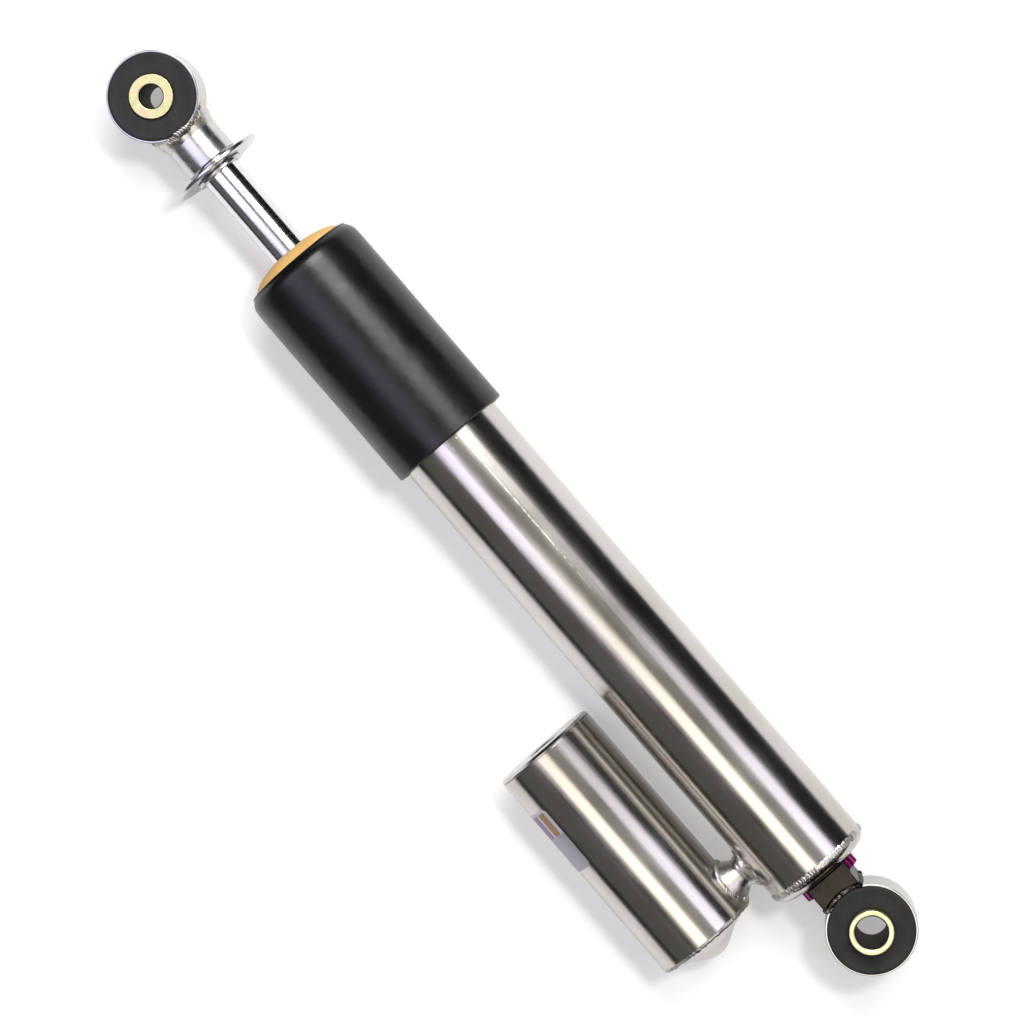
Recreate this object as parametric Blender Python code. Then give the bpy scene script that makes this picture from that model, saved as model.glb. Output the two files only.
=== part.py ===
"""Rear shock absorber: a gas-charged monotube damper with a second, welded-on reservoir tube beside its body,
a rubber-bushed eye at each end, a bump stop in a dust cover on the rod, and an adjuster wheel at the foot.

Frame, in metres: +X runs along the damper from the rod eye to the body eye, +Z runs along both eye bores, and
the reservoir lies on the -Y side. The origin is the middle of the underside of the object's box, with the
dust cover and the reservoir both resting on Z = 0. Stations along the damper are distances from the rod eye's
centre. The damper is at full extension, and the dust cover is where friction has left it on the rod.
"""

import math

import bmesh
import bpy

MM = 0.001
GAP = 0.3 * MM  # between pieces that touch or are pressed together
BEYOND = 1 * MM  # how far a cutter runs past what it cuts
CUTTER_REACH = 30 * MM  # half the length of a cutter that runs right across

# Number of sides on a turned piece: tubes and eyes, bores and rod, small valve parts
COARSE = 32
MIDDLE = 20
FINE = 12

# Driving dimensions
EYE_SPACING = 484 * MM
BODY_RADIUS = 24.75 * MM
BODY_WALL = 2.0 * MM
RESERVOIR_RADIUS = 24.65 * MM
RESERVOIR_OFFSET = 59.1 * MM  # across Y, from the damper's axis to the reservoir's
ROD_RADIUS = 9.0 * MM
COVER_RADIUS = 29.0 * MM
LABEL_STAND_OFF = 0.2 * MM  # the label's outer face above the reservoir's wall

# Axes in the frame
DAMPER_X = -EYE_SPACING / 2
DAMPER_Y = (RESERVOIR_OFFSET + RESERVOIR_RADIUS + LABEL_STAND_OFF - COVER_RADIUS) / 2
DAMPER_Z = COVER_RADIUS
RESERVOIR_Y = DAMPER_Y - RESERVOIR_OFFSET
RESERVOIR_Z = RESERVOIR_RADIUS

# Eyes, rubber bushes and steel sleeves
EYE_RADIUS = 20.5 * MM
EYE_BORE = 17.0 * MM
EYE_WIDTH = 25.0 * MM
EYE_CHAMFER = 0.8 * MM
BUSH_FLANGE_RADIUS = 19.65 * MM
BUSH_FLANGE = 1.8 * MM
SLEEVE_RADIUS = 9.9 * MM
UPPER_SLEEVE_LENGTH = 32 * MM
LOWER_SLEEVE_LENGTH = 40 * MM
UPPER_BOLT_RADIUS = 5.25 * MM
LOWER_BOLT_RADIUS = 7.25 * MM
SLEEVE_CHAMFER = 0.6 * MM

# Rod end
COLLAR_START = 10 * MM  # inside the eye, before the saddle is cut
COLLAR_RADIUS = 12.5 * MM
COLLAR_END = 38.3 * MM
COLLAR_NOSE_RADIUS = 10.8 * MM
COLLAR_NOSE_END = 39.4 * MM
ROD_THREAD_RADIUS = 7.0 * MM
ROD_THREAD_START = 25.0 * MM
WASHER_RADIUS = 22.0 * MM
WASHER_START = 40.0 * MM
WASHER_THICKNESS = 2.0 * MM
WASHER_CHAMFER = 0.5 * MM
STOP_RING_RADIUS = 11.8 * MM
STOP_RING_LENGTH = 1.7 * MM
STOP_RING_CHAMFER = 0.4 * MM

# Bump stop and dust cover
STOP_START = 90.4 * MM
STOP_DOME = 7.3 * MM
STOP_HEAD_RADIUS = 25.0 * MM
STOP_WAIST_RADIUS = 19.5 * MM
STOP_BODY_RADIUS = 21.5 * MM
STOP_TIP_RADIUS = 16.0 * MM
STOP_END = 126 * MM
COVER_START = 95.9 * MM
COVER_END = 199.3 * MM
COVER_WALL = 2.3 * MM
COVER_SHOULDER = 5.6 * MM
COVER_MOUTH_RIM = 25.9 * MM
CLIP_START = 104.3 * MM
CLIP_THICKNESS = 2.3 * MM
CLIP_RADIUS = 19.8 * MM

# Body tube, rod guide and seals
BODY_START = 190 * MM
BODY_END = 446.5 * MM
BODY_BORE = BODY_RADIUS - BODY_WALL
BODY_PLUG = BODY_BORE - 0.35 * MM  # the guide and other pieces that fill the bore
CIRCLIP_START = 191.5 * MM
CIRCLIP_THICKNESS = 1.6 * MM
CIRCLIP_GROOVE = 0.95 * MM
CIRCLIP_INSIDE = BODY_BORE - 2.0 * MM
CIRCLIP_OPENING = 5.0 * MM
GLAND_START = 193.4 * MM
GLAND_THICKNESS = 6.0 * MM
SEAL_BORE = ROD_RADIUS + 0.25 * MM
WIPER_RADIUS = 13.0 * MM
WIPER_THICKNESS = 3.7 * MM
GUIDE_START = 199.7 * MM
GUIDE_LENGTH = 27.3 * MM
SEAL_RADIUS = 14.0 * MM
SEAL_THICKNESS = 5.7 * MM
GUIDE_BUSH_RADIUS = 10.6 * MM
GROOVE_WIDTH = 3.5 * MM
GROOVE_DEPTH = 2.0 * MM
ORING_SECTION = 0.95 * MM

# Piston on the rod's post
POST_START = 236 * MM
POST_RADIUS = 6.0 * MM
POST_END = 269.5 * MM
BUMPER_START = 227.5 * MM
BUMPER_LENGTH = 6.5 * MM
BUMPER_RADIUS = 14.0 * MM
BUMPER_CHAMFER = 1.0 * MM
SHIM_STACK = 3.0 * MM
SHIM_RADIUS = 17.0 * MM
PISTON_LENGTH = 14.0 * MM
BAND_LENGTH = 8.4 * MM
BAND_THICKNESS = 1.4 * MM
PORT_RADIUS = 2.2 * MM
PORT_CIRCLE = 14.5 * MM
PORTS = 6
NUT_ACROSS_FLATS = 19 * MM
NUT_LENGTH = 10 * MM
NUT_SIDES = 24  # four to each flat

# Foot: base valve, base cap, adjuster and bridge to the reservoir
BRIDGE_STATION = 429 * MM
BRIDGE_BORE = 4.5 * MM
BRIDGE_OVERLAP = 3.5 * MM  # how far the neck runs into each tube before its saddles are cut
BRIDGE_FLARE = 3.6 * MM
BRIDGE_WAIST = 7.5 * MM
BRIDGE_BODY_END = 11.0 * MM
BRIDGE_RESERVOIR_END = 12.0 * MM
VALVE_BOLT_START = 396 * MM
VALVE_BOLT_RADIUS = 4.0 * MM
VALVE_BOLT_BORE = 2.2 * MM
VALVE_BOLT_HEAD = 6.0 * MM
VALVE_BOLT_END = 424 * MM
VALVE_THICKNESS = 9.7 * MM
CAP_START = 418 * MM
CAP_END = 452.3 * MM
CAP_FACE_RADIUS = 17.0 * MM
NEEDLE_RADIUS = 2.6 * MM
NEEDLE_BORE = 3.3 * MM
NEEDLE_TIP = 420.5 * MM
NEEDLE_END = 458.8 * MM
NEEDLE_FLAT = 1.6 * MM  # from the axis to the flat that the wheel drives
NEEDLE_TRAVEL = 2.5 * MM
NEEDLE_TAPER = 5 * MM
NEEDLE_SHOULDER = 6 * MM
NEEDLE_GROOVE_WIDTH = 2.4 * MM
NEEDLE_GROOVE_DEPTH = 0.9 * MM
NEEDLE_ROOM = 3.8 * MM  # behind the wheel, in the housing
WHEEL_RADIUS = 14.2 * MM
WHEEL_START = 453.3 * MM
WHEEL_THICKNESS = 4.3 * MM
WHEEL_KNURLS = 20
WHEEL_KNURL_DEPTH = 0.9 * MM
HOUSING_END = 466 * MM
HOUSING_HALF_WIDTH = 10 * MM
HOUSING_HALF_HEIGHT = 16.5 * MM
HOUSING_CHEEK = 1.6 * MM
HOUSING_SLOT_END = 458.0 * MM
HOUSING_CORNER = 1.5 * MM
DETENT_CIRCLE = 9.0 * MM
DETENT_BALL_RADIUS = 1.5 * MM
DETENT_DEPTH = 12 * MM
DETENT_TURNS = 5
DETENT_WIRE = 0.25 * MM

# Reservoir
RESERVOIR_START = 331.2 * MM
RESERVOIR_END = 440.1 * MM
RESERVOIR_BORE = RESERVOIR_RADIUS - BODY_WALL
RESERVOIR_PLUG = RESERVOIR_BORE - 0.35 * MM
END_CAP_START = 329.3 * MM
END_CAP_CHAMFER = 1.2 * MM
END_CAP_PLUG_END = 345 * MM
VALVE_RECESS_RADIUS = 9.0 * MM
VALVE_RECESS = 8.0 * MM
END_CAP_GROOVE = 6.2 * MM
GAS_VALVE_SETBACK = 2.3 * MM  # of the stem's end, below the end cap's face
GAS_VALVE_HEAD = 1.7 * MM
GAS_VALVE_RADIUS = 3.0 * MM
GAS_VALVE_CAP_RADIUS = 4.4 * MM
GAS_VALVE_CAP_SETBACK = 0.9 * MM
GAS_VALVE_CAP_SKIRT = 6.6 * MM
GAS_VALVE_CAP_CROWN = 1.1 * MM
GAS_VALVE_CAP_CHAMFER = 0.6 * MM
FLOATING_START = 400 * MM
FLOATING_LENGTH = 16 * MM
FLOATING_RECESS = 4 * MM
FLOATING_RECESS_RADIUS = 14 * MM
DOME_END = 451 * MM
DOME_TIP = 1.8 * MM
DOME_TIP_RADIUS = 6.4 * MM
LABEL_START = 349.4 * MM
LABEL_LENGTH = 32.6 * MM
LABEL_FIRST = math.radians(40)  # from straight up, round to the -Y side
LABEL_LAST = math.radians(100)
LABEL_THICKNESS = 0.1 * MM
LABEL_STEPS = 6

# Finishes: sRGB colour, roughness, metallic
FINISHES = {
    "polished_steel": ("#C9C8C6", 0.22, 1.0),
    "satin_steel": ("#B4B2AE", 0.32, 1.0),
    "chrome": ("#DCDDDF", 0.08, 1.0),
    "gunmetal_steel": ("#4A4644", 0.45, 1.0),
    "zinc_yellow": ("#D8D08A", 0.35, 1.0),
    "bush_rubber": ("#1B1B1D", 0.75, 0.0),
    "black_plastic": ("#15151A", 0.42, 0.0),
    "tan_urethane": ("#D9AE62", 0.60, 0.0),
    "purple_anodised": ("#7A1670", 0.35, 1.0),
    "aluminium": ("#BFC1C4", 0.35, 1.0),
    "seal_rubber": ("#202022", 0.60, 0.0),
    "ptfe_bronze": ("#8A7358", 0.50, 0.0),
    "spring_steel": ("#8F9196", 0.30, 1.0),
    "brass": ("#C9A455", 0.30, 1.0),
    "foil": ("#C4C6CC", 0.30, 0.8),
}


def clear_scene():
    for item in list(bpy.data.objects):
        bpy.data.objects.remove(item, do_unlink=True)


def linear(hex_colour):
    """A #RRGGBB colour as linear red, green, blue and alpha."""
    values = [int(hex_colour[i : i + 2], 16) / 255 for i in (1, 3, 5)]
    curved = [v / 12.92 if v <= 0.04045 else ((v + 0.055) / 1.055) ** 2.4 for v in values]
    return (*curved, 1.0)


def give_finish(piece, finish):
    colour, roughness, metallic = FINISHES[finish]
    material = bpy.data.materials.new(f"{piece.name}_{finish}")
    material.use_nodes = True
    shader = material.node_tree.nodes["Principled BSDF"]
    shader.inputs["Base Color"].default_value = linear(colour)
    shader.inputs["Roughness"].default_value = roughness
    shader.inputs["Metallic"].default_value = metallic
    piece.data.materials.append(material)


def axis_empty(name, location, rotation):
    """An empty whose local Z is the axis that pieces are turned about."""
    empty = bpy.data.objects.new(name, None)
    empty.location = location
    empty.rotation_euler = rotation
    empty.empty_display_size = 20 * MM
    bpy.context.collection.objects.link(empty)
    return empty


def add_piece(name, mesh, axis, station, finish):
    """A sub-part on an axis empty, with its own origin on that axis at the station."""
    piece = bpy.data.objects.new(name, mesh)
    bpy.context.collection.objects.link(piece)
    piece.parent = axis
    piece.location = (0, 0, station)
    if finish:
        give_finish(piece, finish)
    return piece


def mesh_from(name, bm):
    bmesh.ops.recalc_face_normals(bm, faces=bm.faces)
    mesh = bpy.data.meshes.new(name)
    bm.to_mesh(mesh)
    bm.free()
    mesh.shade_smooth()
    mesh.set_sharp_from_angle(angle=math.radians(30))
    return mesh


def turned_mesh(name, profile, sides):
    """Spins (z, radius) points about local Z. A profile that starts and ends on the axis makes a solid, and
    any other is closed into a ring."""
    bm = bmesh.new()
    verts = [bm.verts.new((radius, 0, z)) for z, radius in profile]
    edges = [bm.edges.new(pair) for pair in zip(verts, verts[1:])]
    if profile[0][1] > 0:
        edges.append(bm.edges.new((verts[-1], verts[0])))
    bmesh.ops.spin(
        bm,
        geom=verts + edges,
        cent=(0, 0, 0),
        axis=(0, 0, 1),
        dvec=(0, 0, 0),
        angle=math.tau,
        steps=sides,
        use_merge=True,
    )
    bmesh.ops.remove_doubles(bm, verts=bm.verts, dist=MM / 1000)
    return mesh_from(name, bm)


def turned(name, axis, station, profile, sides, finish):
    return add_piece(name, turned_mesh(name, profile, sides), axis, station, finish)


def ring_profile(length, outer, inner, chamfer=0.0):
    """A plain ring or tube from z = 0, with its two outer edges chamfered."""
    if not chamfer:
        return [(0, inner), (0, outer), (length, outer), (length, inner)]
    return [
        (0, inner),
        (0, outer - chamfer),
        (chamfer, outer),
        (length - chamfer, outer),
        (length, outer - chamfer),
        (length, inner),
    ]


def centred(profile):
    """The profile moved so that its middle is at z = 0."""
    low = min(z for z, _ in profile)
    high = max(z for z, _ in profile)
    return [(z - (low + high) / 2, radius) for z, radius in profile]


def rounded(start, end, steps):
    """Points on a quarter ellipse from start to end, (z, radius), leaving start along z and reaching end
    along the radius."""
    points = []
    for step in range(steps + 1):
        angle = math.pi / 2 * step / steps
        z = start[0] + (end[0] - start[0]) * math.sin(angle)
        radius = end[1] + (start[1] - end[1]) * math.cos(angle)
        points.append((z, radius))
    return points


def oring_profile(middle_radius):
    """A six-sided section, with a corner at its largest radius."""
    corners = [math.tau * corner / 6 for corner in range(6)]
    return [
        (ORING_SECTION * math.sin(angle), middle_radius + ORING_SECTION * math.cos(angle))
        for angle in corners
    ]


def shim_profile(length, outer, inner):
    """A stack of three discs that get smaller away from z = 0."""
    steps = [(0, outer), (length / 3, outer), (length / 3, outer * 0.8), (length * 2 / 3, outer * 0.8)]
    return [(0, inner), *steps, (length * 2 / 3, outer * 0.6), (length, outer * 0.6), (length, inner)]


def flipped(profile):
    length = max(z for z, _ in profile)
    return [(length - z, radius) for z, radius in profile]


def prism(name, axis, station, length, outer, inner, sides, finish):
    """A straight-sided ring. outer and inner give the radius at an angle."""
    bm = bmesh.new()
    angles = [math.tau * side / sides for side in range(sides)]
    rings = [
        [bm.verts.new((r(a) * math.cos(a), r(a) * math.sin(a), z)) for a in angles]
        for r, z in ((outer, 0), (outer, length), (inner, length), (inner, 0))
    ]
    for ring, following in zip(rings, rings[1:] + rings[:1]):
        for side in range(sides):
            after = (side + 1) % sides
            bm.faces.new((ring[side], ring[after], following[after], following[side]))
    return add_piece(name, mesh_from(name, bm), axis, station, finish)


def cylinder_cutter(name, axis, radius, start, end, sides=COARSE, offset=(0, 0)):
    cutter = turned(name, axis, 0, [(start, 0), (start, radius), (end, radius), (end, 0)], sides, None)
    cutter.location = (*offset, 0)
    return cutter


def box_mesh(name, low, high):
    bm = bmesh.new()
    bmesh.ops.create_cube(bm, size=1)
    size = [b - a for a, b in zip(low, high)]
    middle = [(a + b) / 2 for a, b in zip(low, high)]
    bmesh.ops.scale(bm, verts=bm.verts, vec=size)
    bmesh.ops.translate(bm, verts=bm.verts, vec=middle)
    return mesh_from(name, bm)


def cut(piece, cutter):
    """Takes the cutter's shape out of the piece and leaves the cutter out of the model."""
    cutter.hide_render = True
    cutter.display_type = "WIRE"
    modifier = piece.modifiers.new(cutter.name, "BOOLEAN")
    modifier.operation = "DIFFERENCE"
    modifier.solver = "EXACT"
    modifier.object = cutter


def port_cutter(name, axis, start, end, circle, radius, count):
    """A ring of cylinders in one mesh, which cuts every port at once."""
    bm = bmesh.new()
    for port in range(count):
        angle = math.tau * port / count
        made = bmesh.ops.create_cone(
            bm, cap_ends=True, segments=10, radius1=radius, radius2=radius, depth=end - start
        )
        place = (circle * math.cos(angle), circle * math.sin(angle), (start + end) / 2)
        bmesh.ops.translate(bm, verts=made["verts"], vec=place)
    return add_piece(name, mesh_from(name, bm), axis, 0, None)


def eye(end, axis, sleeve_length, bolt_radius):
    """A forged ring, the rubber bush in it, and the steel sleeve that the mounting bolt goes through."""
    ring = centred(ring_profile(EYE_WIDTH, EYE_RADIUS, EYE_BORE, EYE_CHAMFER))
    turned(f"{end}_eye_ring", axis, 0, ring, COARSE, "polished_steel")

    flange_start = EYE_WIDTH / 2 + GAP
    flange_end = flange_start + BUSH_FLANGE
    lip = BUSH_FLANGE / 3
    half = [
        (flange_start, EYE_BORE - GAP),
        (flange_start, BUSH_FLANGE_RADIUS),
        (flange_end - lip, BUSH_FLANGE_RADIUS),
        (flange_end, BUSH_FLANGE_RADIUS - lip),
        (flange_end, SLEEVE_RADIUS + GAP),
    ]
    rubber = half + [(-z, radius) for z, radius in reversed(half)]
    turned(f"{end}_bush_rubber", axis, 0, rubber, COARSE, "bush_rubber")

    sleeve = centred(ring_profile(sleeve_length, SLEEVE_RADIUS, bolt_radius, SLEEVE_CHAMFER))
    turned(f"{end}_bush_sleeve", axis, 0, sleeve, MIDDLE, "zinc_yellow")


def rod_end(damper, upper_eye):
    """The collar between the eye and the rod, and the washer that the bump stop strikes."""
    saddle_radius = EYE_RADIUS + GAP
    saddle = cylinder_cutter("upper_eye_saddle", upper_eye, saddle_radius, -CUTTER_REACH, CUTTER_REACH)
    collar = turned(
        "rod_end_collar",
        damper,
        0,
        [
            (COLLAR_START, 0),
            (COLLAR_START, COLLAR_RADIUS),
            (COLLAR_END, COLLAR_RADIUS),
            (COLLAR_END, COLLAR_NOSE_RADIUS),
            (COLLAR_NOSE_END, COLLAR_NOSE_RADIUS),
            (COLLAR_NOSE_END, ROD_THREAD_RADIUS + GAP),
            (ROD_THREAD_START - GAP, ROD_THREAD_RADIUS + GAP),
            (ROD_THREAD_START - GAP, 0),
        ],
        MIDDLE,
        "polished_steel",
    )
    cut(collar, saddle)

    washer = ring_profile(WASHER_THICKNESS, WASHER_RADIUS, ROD_RADIUS + GAP, WASHER_CHAMFER)
    turned("bump_washer", damper, WASHER_START, washer, COARSE, "polished_steel")
    stop_ring = ring_profile(STOP_RING_LENGTH, STOP_RING_RADIUS, ROD_RADIUS + GAP, STOP_RING_CHAMFER)
    stop_ring_start = WASHER_START + WASHER_THICKNESS + GAP
    turned("washer_stop_ring", damper, stop_ring_start, stop_ring, MIDDLE, "polished_steel")


def piston_rod(damper):
    """The chromed rod: a threaded end in the collar and a long post for the piston."""
    shoulder = COLLAR_NOSE_END + GAP - ROD_THREAD_START
    post = POST_START - ROD_THREAD_START
    profile = [
        (0, 0),
        (0, ROD_THREAD_RADIUS),
        (shoulder, ROD_THREAD_RADIUS),
        (shoulder, ROD_RADIUS),
        (post, ROD_RADIUS),
        (post, POST_RADIUS),
        (POST_END - ROD_THREAD_START, POST_RADIUS),
        (POST_END - ROD_THREAD_START, 0),
    ]
    turned("piston_rod", damper, ROD_THREAD_START, profile, MIDDLE, "chrome")


def piston_stack(damper):
    """From the rod's shoulder down: shims, piston with its band, shims and nut."""
    bumper = ring_profile(BUMPER_LENGTH, BUMPER_RADIUS, ROD_RADIUS + GAP, BUMPER_CHAMFER)
    turned("top_out_bumper", damper, BUMPER_START, bumper, MIDDLE, "seal_rubber")

    bore = POST_RADIUS + GAP
    shims = shim_profile(SHIM_STACK, SHIM_RADIUS, bore)
    shim_start = POST_START + GAP
    turned("compression_shims", damper, shim_start, flipped(shims), MIDDLE, "spring_steel")

    piston_start = shim_start + SHIM_STACK + GAP
    groove = (PISTON_LENGTH - BAND_LENGTH) / 2 - GAP
    groove_radius = BODY_PLUG - BAND_THICKNESS - GAP
    profile = [
        (0, bore),
        (0, BODY_PLUG),
        (groove, BODY_PLUG),
        (groove, groove_radius),
        (PISTON_LENGTH - groove, groove_radius),
        (PISTON_LENGTH - groove, BODY_PLUG),
        (PISTON_LENGTH, BODY_PLUG),
        (PISTON_LENGTH, bore),
    ]
    piston = turned("piston", damper, piston_start, profile, COARSE, "aluminium")
    ports = port_cutter(
        "piston_ports",
        damper,
        piston_start - BEYOND,
        piston_start + PISTON_LENGTH + BEYOND,
        PORT_CIRCLE,
        PORT_RADIUS,
        PORTS,
    )
    cut(piston, ports)
    band = ring_profile(BAND_LENGTH, groove_radius + GAP + BAND_THICKNESS, groove_radius + GAP)
    turned("piston_band", damper, piston_start + groove + GAP, band, COARSE, "ptfe_bronze")

    rebound_start = piston_start + PISTON_LENGTH + GAP
    turned("rebound_shims", damper, rebound_start, shims, MIDDLE, "spring_steel")
    hexagon = hexagon_radius(NUT_ACROSS_FLATS)
    nut_start = rebound_start + SHIM_STACK + GAP
    prism("piston_nut", damper, nut_start, NUT_LENGTH, hexagon, lambda _: bore, NUT_SIDES, "spring_steel")


def hexagon_radius(across_flats):
    """The distance from a hexagon's middle to its edge, as a function of the angle."""

    def radius(angle):
        return across_flats / 2 / math.cos(angle % (math.tau / 6) - math.tau / 12)

    return radius


def bump_stop_and_cover(damper):
    """The urethane stop that grips the rod, and the plastic cover that clips into its waist."""
    bore = ROD_RADIUS + GAP
    head_end = CLIP_START - GAP - STOP_START
    waist_end = CLIP_START + CLIP_THICKNESS + GAP - STOP_START
    length = STOP_END - STOP_START
    dome = rounded((STOP_DOME, STOP_HEAD_RADIUS), (0, bore), 6)
    profile = [
        *reversed(dome),
        (head_end, STOP_HEAD_RADIUS),
        (head_end, STOP_WAIST_RADIUS),
        (waist_end, STOP_WAIST_RADIUS),
        (waist_end, STOP_BODY_RADIUS),
        (length * 0.8, STOP_BODY_RADIUS),
        (length, STOP_TIP_RADIUS),
        (length, bore),
    ]
    turned("bump_stop", damper, STOP_START, profile, COARSE, "tan_urethane")

    length = COVER_END - COVER_START
    clip = CLIP_START - COVER_START
    mouth = STOP_HEAD_RADIUS + GAP
    inside = COVER_RADIUS - COVER_WALL
    shoulder = rounded((COVER_SHOULDER, COVER_RADIUS), (0, COVER_MOUTH_RIM), 4)
    profile = [
        (0, mouth),
        *reversed(shoulder),
        (length, COVER_RADIUS),
        (length, inside),
        (clip + CLIP_THICKNESS, inside),
        (clip + CLIP_THICKNESS, CLIP_RADIUS),
        (clip, CLIP_RADIUS),
        (clip, mouth),
    ]
    turned("dust_cover", damper, COVER_START, profile, COARSE, "black_plastic")


def body_tube(damper, bridge):
    """The bare steel tube, with a groove for the circlip and a port to the reservoir."""
    length = BODY_END - BODY_START
    groove = CIRCLIP_START - GAP - BODY_START
    groove_end = groove + CIRCLIP_THICKNESS + 2 * GAP
    profile = [
        (0, BODY_BORE),
        (0, BODY_RADIUS),
        (length, BODY_RADIUS),
        (length, BODY_BORE),
        (groove_end, BODY_BORE),
        (groove_end, BODY_BORE + CIRCLIP_GROOVE),
        (groove, BODY_BORE + CIRCLIP_GROOVE),
        (groove, BODY_BORE),
    ]
    tube = turned("body_tube", damper, BODY_START, profile, COARSE, "satin_steel")
    port_start = BODY_BORE - BRIDGE_BORE
    port_end = BODY_RADIUS + BEYOND
    cut(tube, cylinder_cutter("body_port", bridge, BRIDGE_BORE, port_start, port_end, FINE))


def rod_guide_and_seals(damper):
    """What closes the body's upper end round the rod, from the circlip inwards."""
    outer = BODY_BORE + CIRCLIP_GROOVE - GAP
    clip = ring_profile(CIRCLIP_THICKNESS, outer, CIRCLIP_INSIDE)
    circlip = turned("guide_circlip", damper, CIRCLIP_START, clip, COARSE, "spring_steel")
    low = (-CUTTER_REACH, -CIRCLIP_OPENING / 2, CIRCLIP_START - BEYOND)
    high = (0, CIRCLIP_OPENING / 2, CIRCLIP_START + CIRCLIP_THICKNESS + BEYOND)
    cut(circlip, add_piece("circlip_opening", box_mesh("circlip_opening", low, high), damper, 0, None))

    pocket = WIPER_THICKNESS + GAP
    profile = [
        (0, WIPER_RADIUS + GAP),
        (0, BODY_PLUG),
        (GLAND_THICKNESS, BODY_PLUG),
        (GLAND_THICKNESS, ROD_RADIUS + 2 * GAP),
        (pocket, ROD_RADIUS + 2 * GAP),
        (pocket, WIPER_RADIUS + GAP),
    ]
    turned("gland_cap", damper, GLAND_START, profile, MIDDLE, "aluminium")
    wiper = ring_profile(WIPER_THICKNESS, WIPER_RADIUS, SEAL_BORE)
    turned("wiper_seal", damper, GLAND_START, wiper, MIDDLE, "seal_rubber")

    groove = GUIDE_LENGTH * 0.3
    groove_radius = BODY_PLUG - GROOVE_DEPTH
    pocket = SEAL_THICKNESS + 2 * GAP
    profile = [
        (0, SEAL_RADIUS + GAP),
        (0, BODY_PLUG),
        (groove, BODY_PLUG),
        (groove, groove_radius),
        (groove + GROOVE_WIDTH, groove_radius),
        (groove + GROOVE_WIDTH, BODY_PLUG),
        (GUIDE_LENGTH, BODY_PLUG),
        (GUIDE_LENGTH, GUIDE_BUSH_RADIUS + GAP),
        (pocket, GUIDE_BUSH_RADIUS + GAP),
        (pocket, SEAL_RADIUS + GAP),
    ]
    turned("rod_guide", damper, GUIDE_START, profile, COARSE, "aluminium")
    seal = ring_profile(SEAL_THICKNESS, SEAL_RADIUS, SEAL_BORE)
    turned("rod_seal", damper, GUIDE_START + GAP, seal, MIDDLE, "seal_rubber")
    bush_start = GUIDE_START + pocket + 1 * MM
    bush_length = GUIDE_LENGTH - pocket - 2 * MM
    bush = ring_profile(bush_length, GUIDE_BUSH_RADIUS, SEAL_BORE)
    turned("guide_bush", damper, bush_start, bush, MIDDLE, "ptfe_bronze")
    oring = oring_profile(groove_radius + GAP / 2 + ORING_SECTION)
    station = GUIDE_START + groove + GROOVE_WIDTH / 2
    turned("guide_oring", damper, station, oring, COARSE, "seal_rubber")


def base_valve(damper):
    """The ported disc, shims and hollow bolt on the inner end of the base cap."""
    length = VALVE_BOLT_END - VALVE_BOLT_START
    profile = [
        (0, VALVE_BOLT_BORE),
        (0, 2 * VALVE_BOLT_RADIUS),
        (VALVE_BOLT_HEAD, 2 * VALVE_BOLT_RADIUS),
        (VALVE_BOLT_HEAD, VALVE_BOLT_RADIUS),
        (length, VALVE_BOLT_RADIUS),
        (length, VALVE_BOLT_BORE),
    ]
    turned("base_valve_bolt", damper, VALVE_BOLT_START, profile, FINE, "spring_steel")

    bore = VALVE_BOLT_RADIUS + GAP
    disc_start = VALVE_BOLT_START + VALVE_BOLT_HEAD + GAP
    disc_profile = ring_profile(VALVE_THICKNESS, BODY_PLUG, bore)
    disc = turned("base_valve_disc", damper, disc_start, disc_profile, COARSE, "aluminium")
    ports = port_cutter(
        "base_valve_ports",
        damper,
        disc_start - BEYOND,
        disc_start + VALVE_THICKNESS + BEYOND,
        PORT_CIRCLE,
        PORT_RADIUS,
        PORTS,
    )
    cut(disc, ports)
    shims = shim_profile(SHIM_STACK, SHIM_RADIUS, bore)
    shim_start = disc_start + VALVE_THICKNESS + GAP
    turned("base_valve_shims", damper, shim_start, shims, MIDDLE, "spring_steel")


def base_cap(damper, bridge):
    """The plug welded into the body's foot, bored for the needle and cross-drilled towards the reservoir."""
    length = CAP_END - CAP_START
    shoulder = BODY_END + GAP - CAP_START
    bolt_depth = VALVE_BOLT_END + GAP - CAP_START
    profile = [
        (0, VALVE_BOLT_RADIUS + GAP),
        (0, BODY_PLUG),
        (shoulder, BODY_PLUG),
        *rounded((shoulder, BODY_RADIUS), (length, CAP_FACE_RADIUS), 4),
        (length, NEEDLE_BORE),
        (bolt_depth, NEEDLE_BORE),
        (bolt_depth, VALVE_BOLT_RADIUS + GAP),
    ]
    cap = turned("base_cap", damper, CAP_START, profile, COARSE, "satin_steel")
    cut(cap, cylinder_cutter("cap_passage", bridge, BRIDGE_BORE, BEYOND, BODY_RADIUS, FINE))
    detent_hole = cylinder_cutter(
        "detent_hole",
        damper,
        DETENT_BALL_RADIUS + GAP,
        CAP_END - DETENT_DEPTH,
        CAP_END + BEYOND,
        FINE,
        (DETENT_CIRCLE, 0),
    )
    cut(cap, detent_hole)


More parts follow.
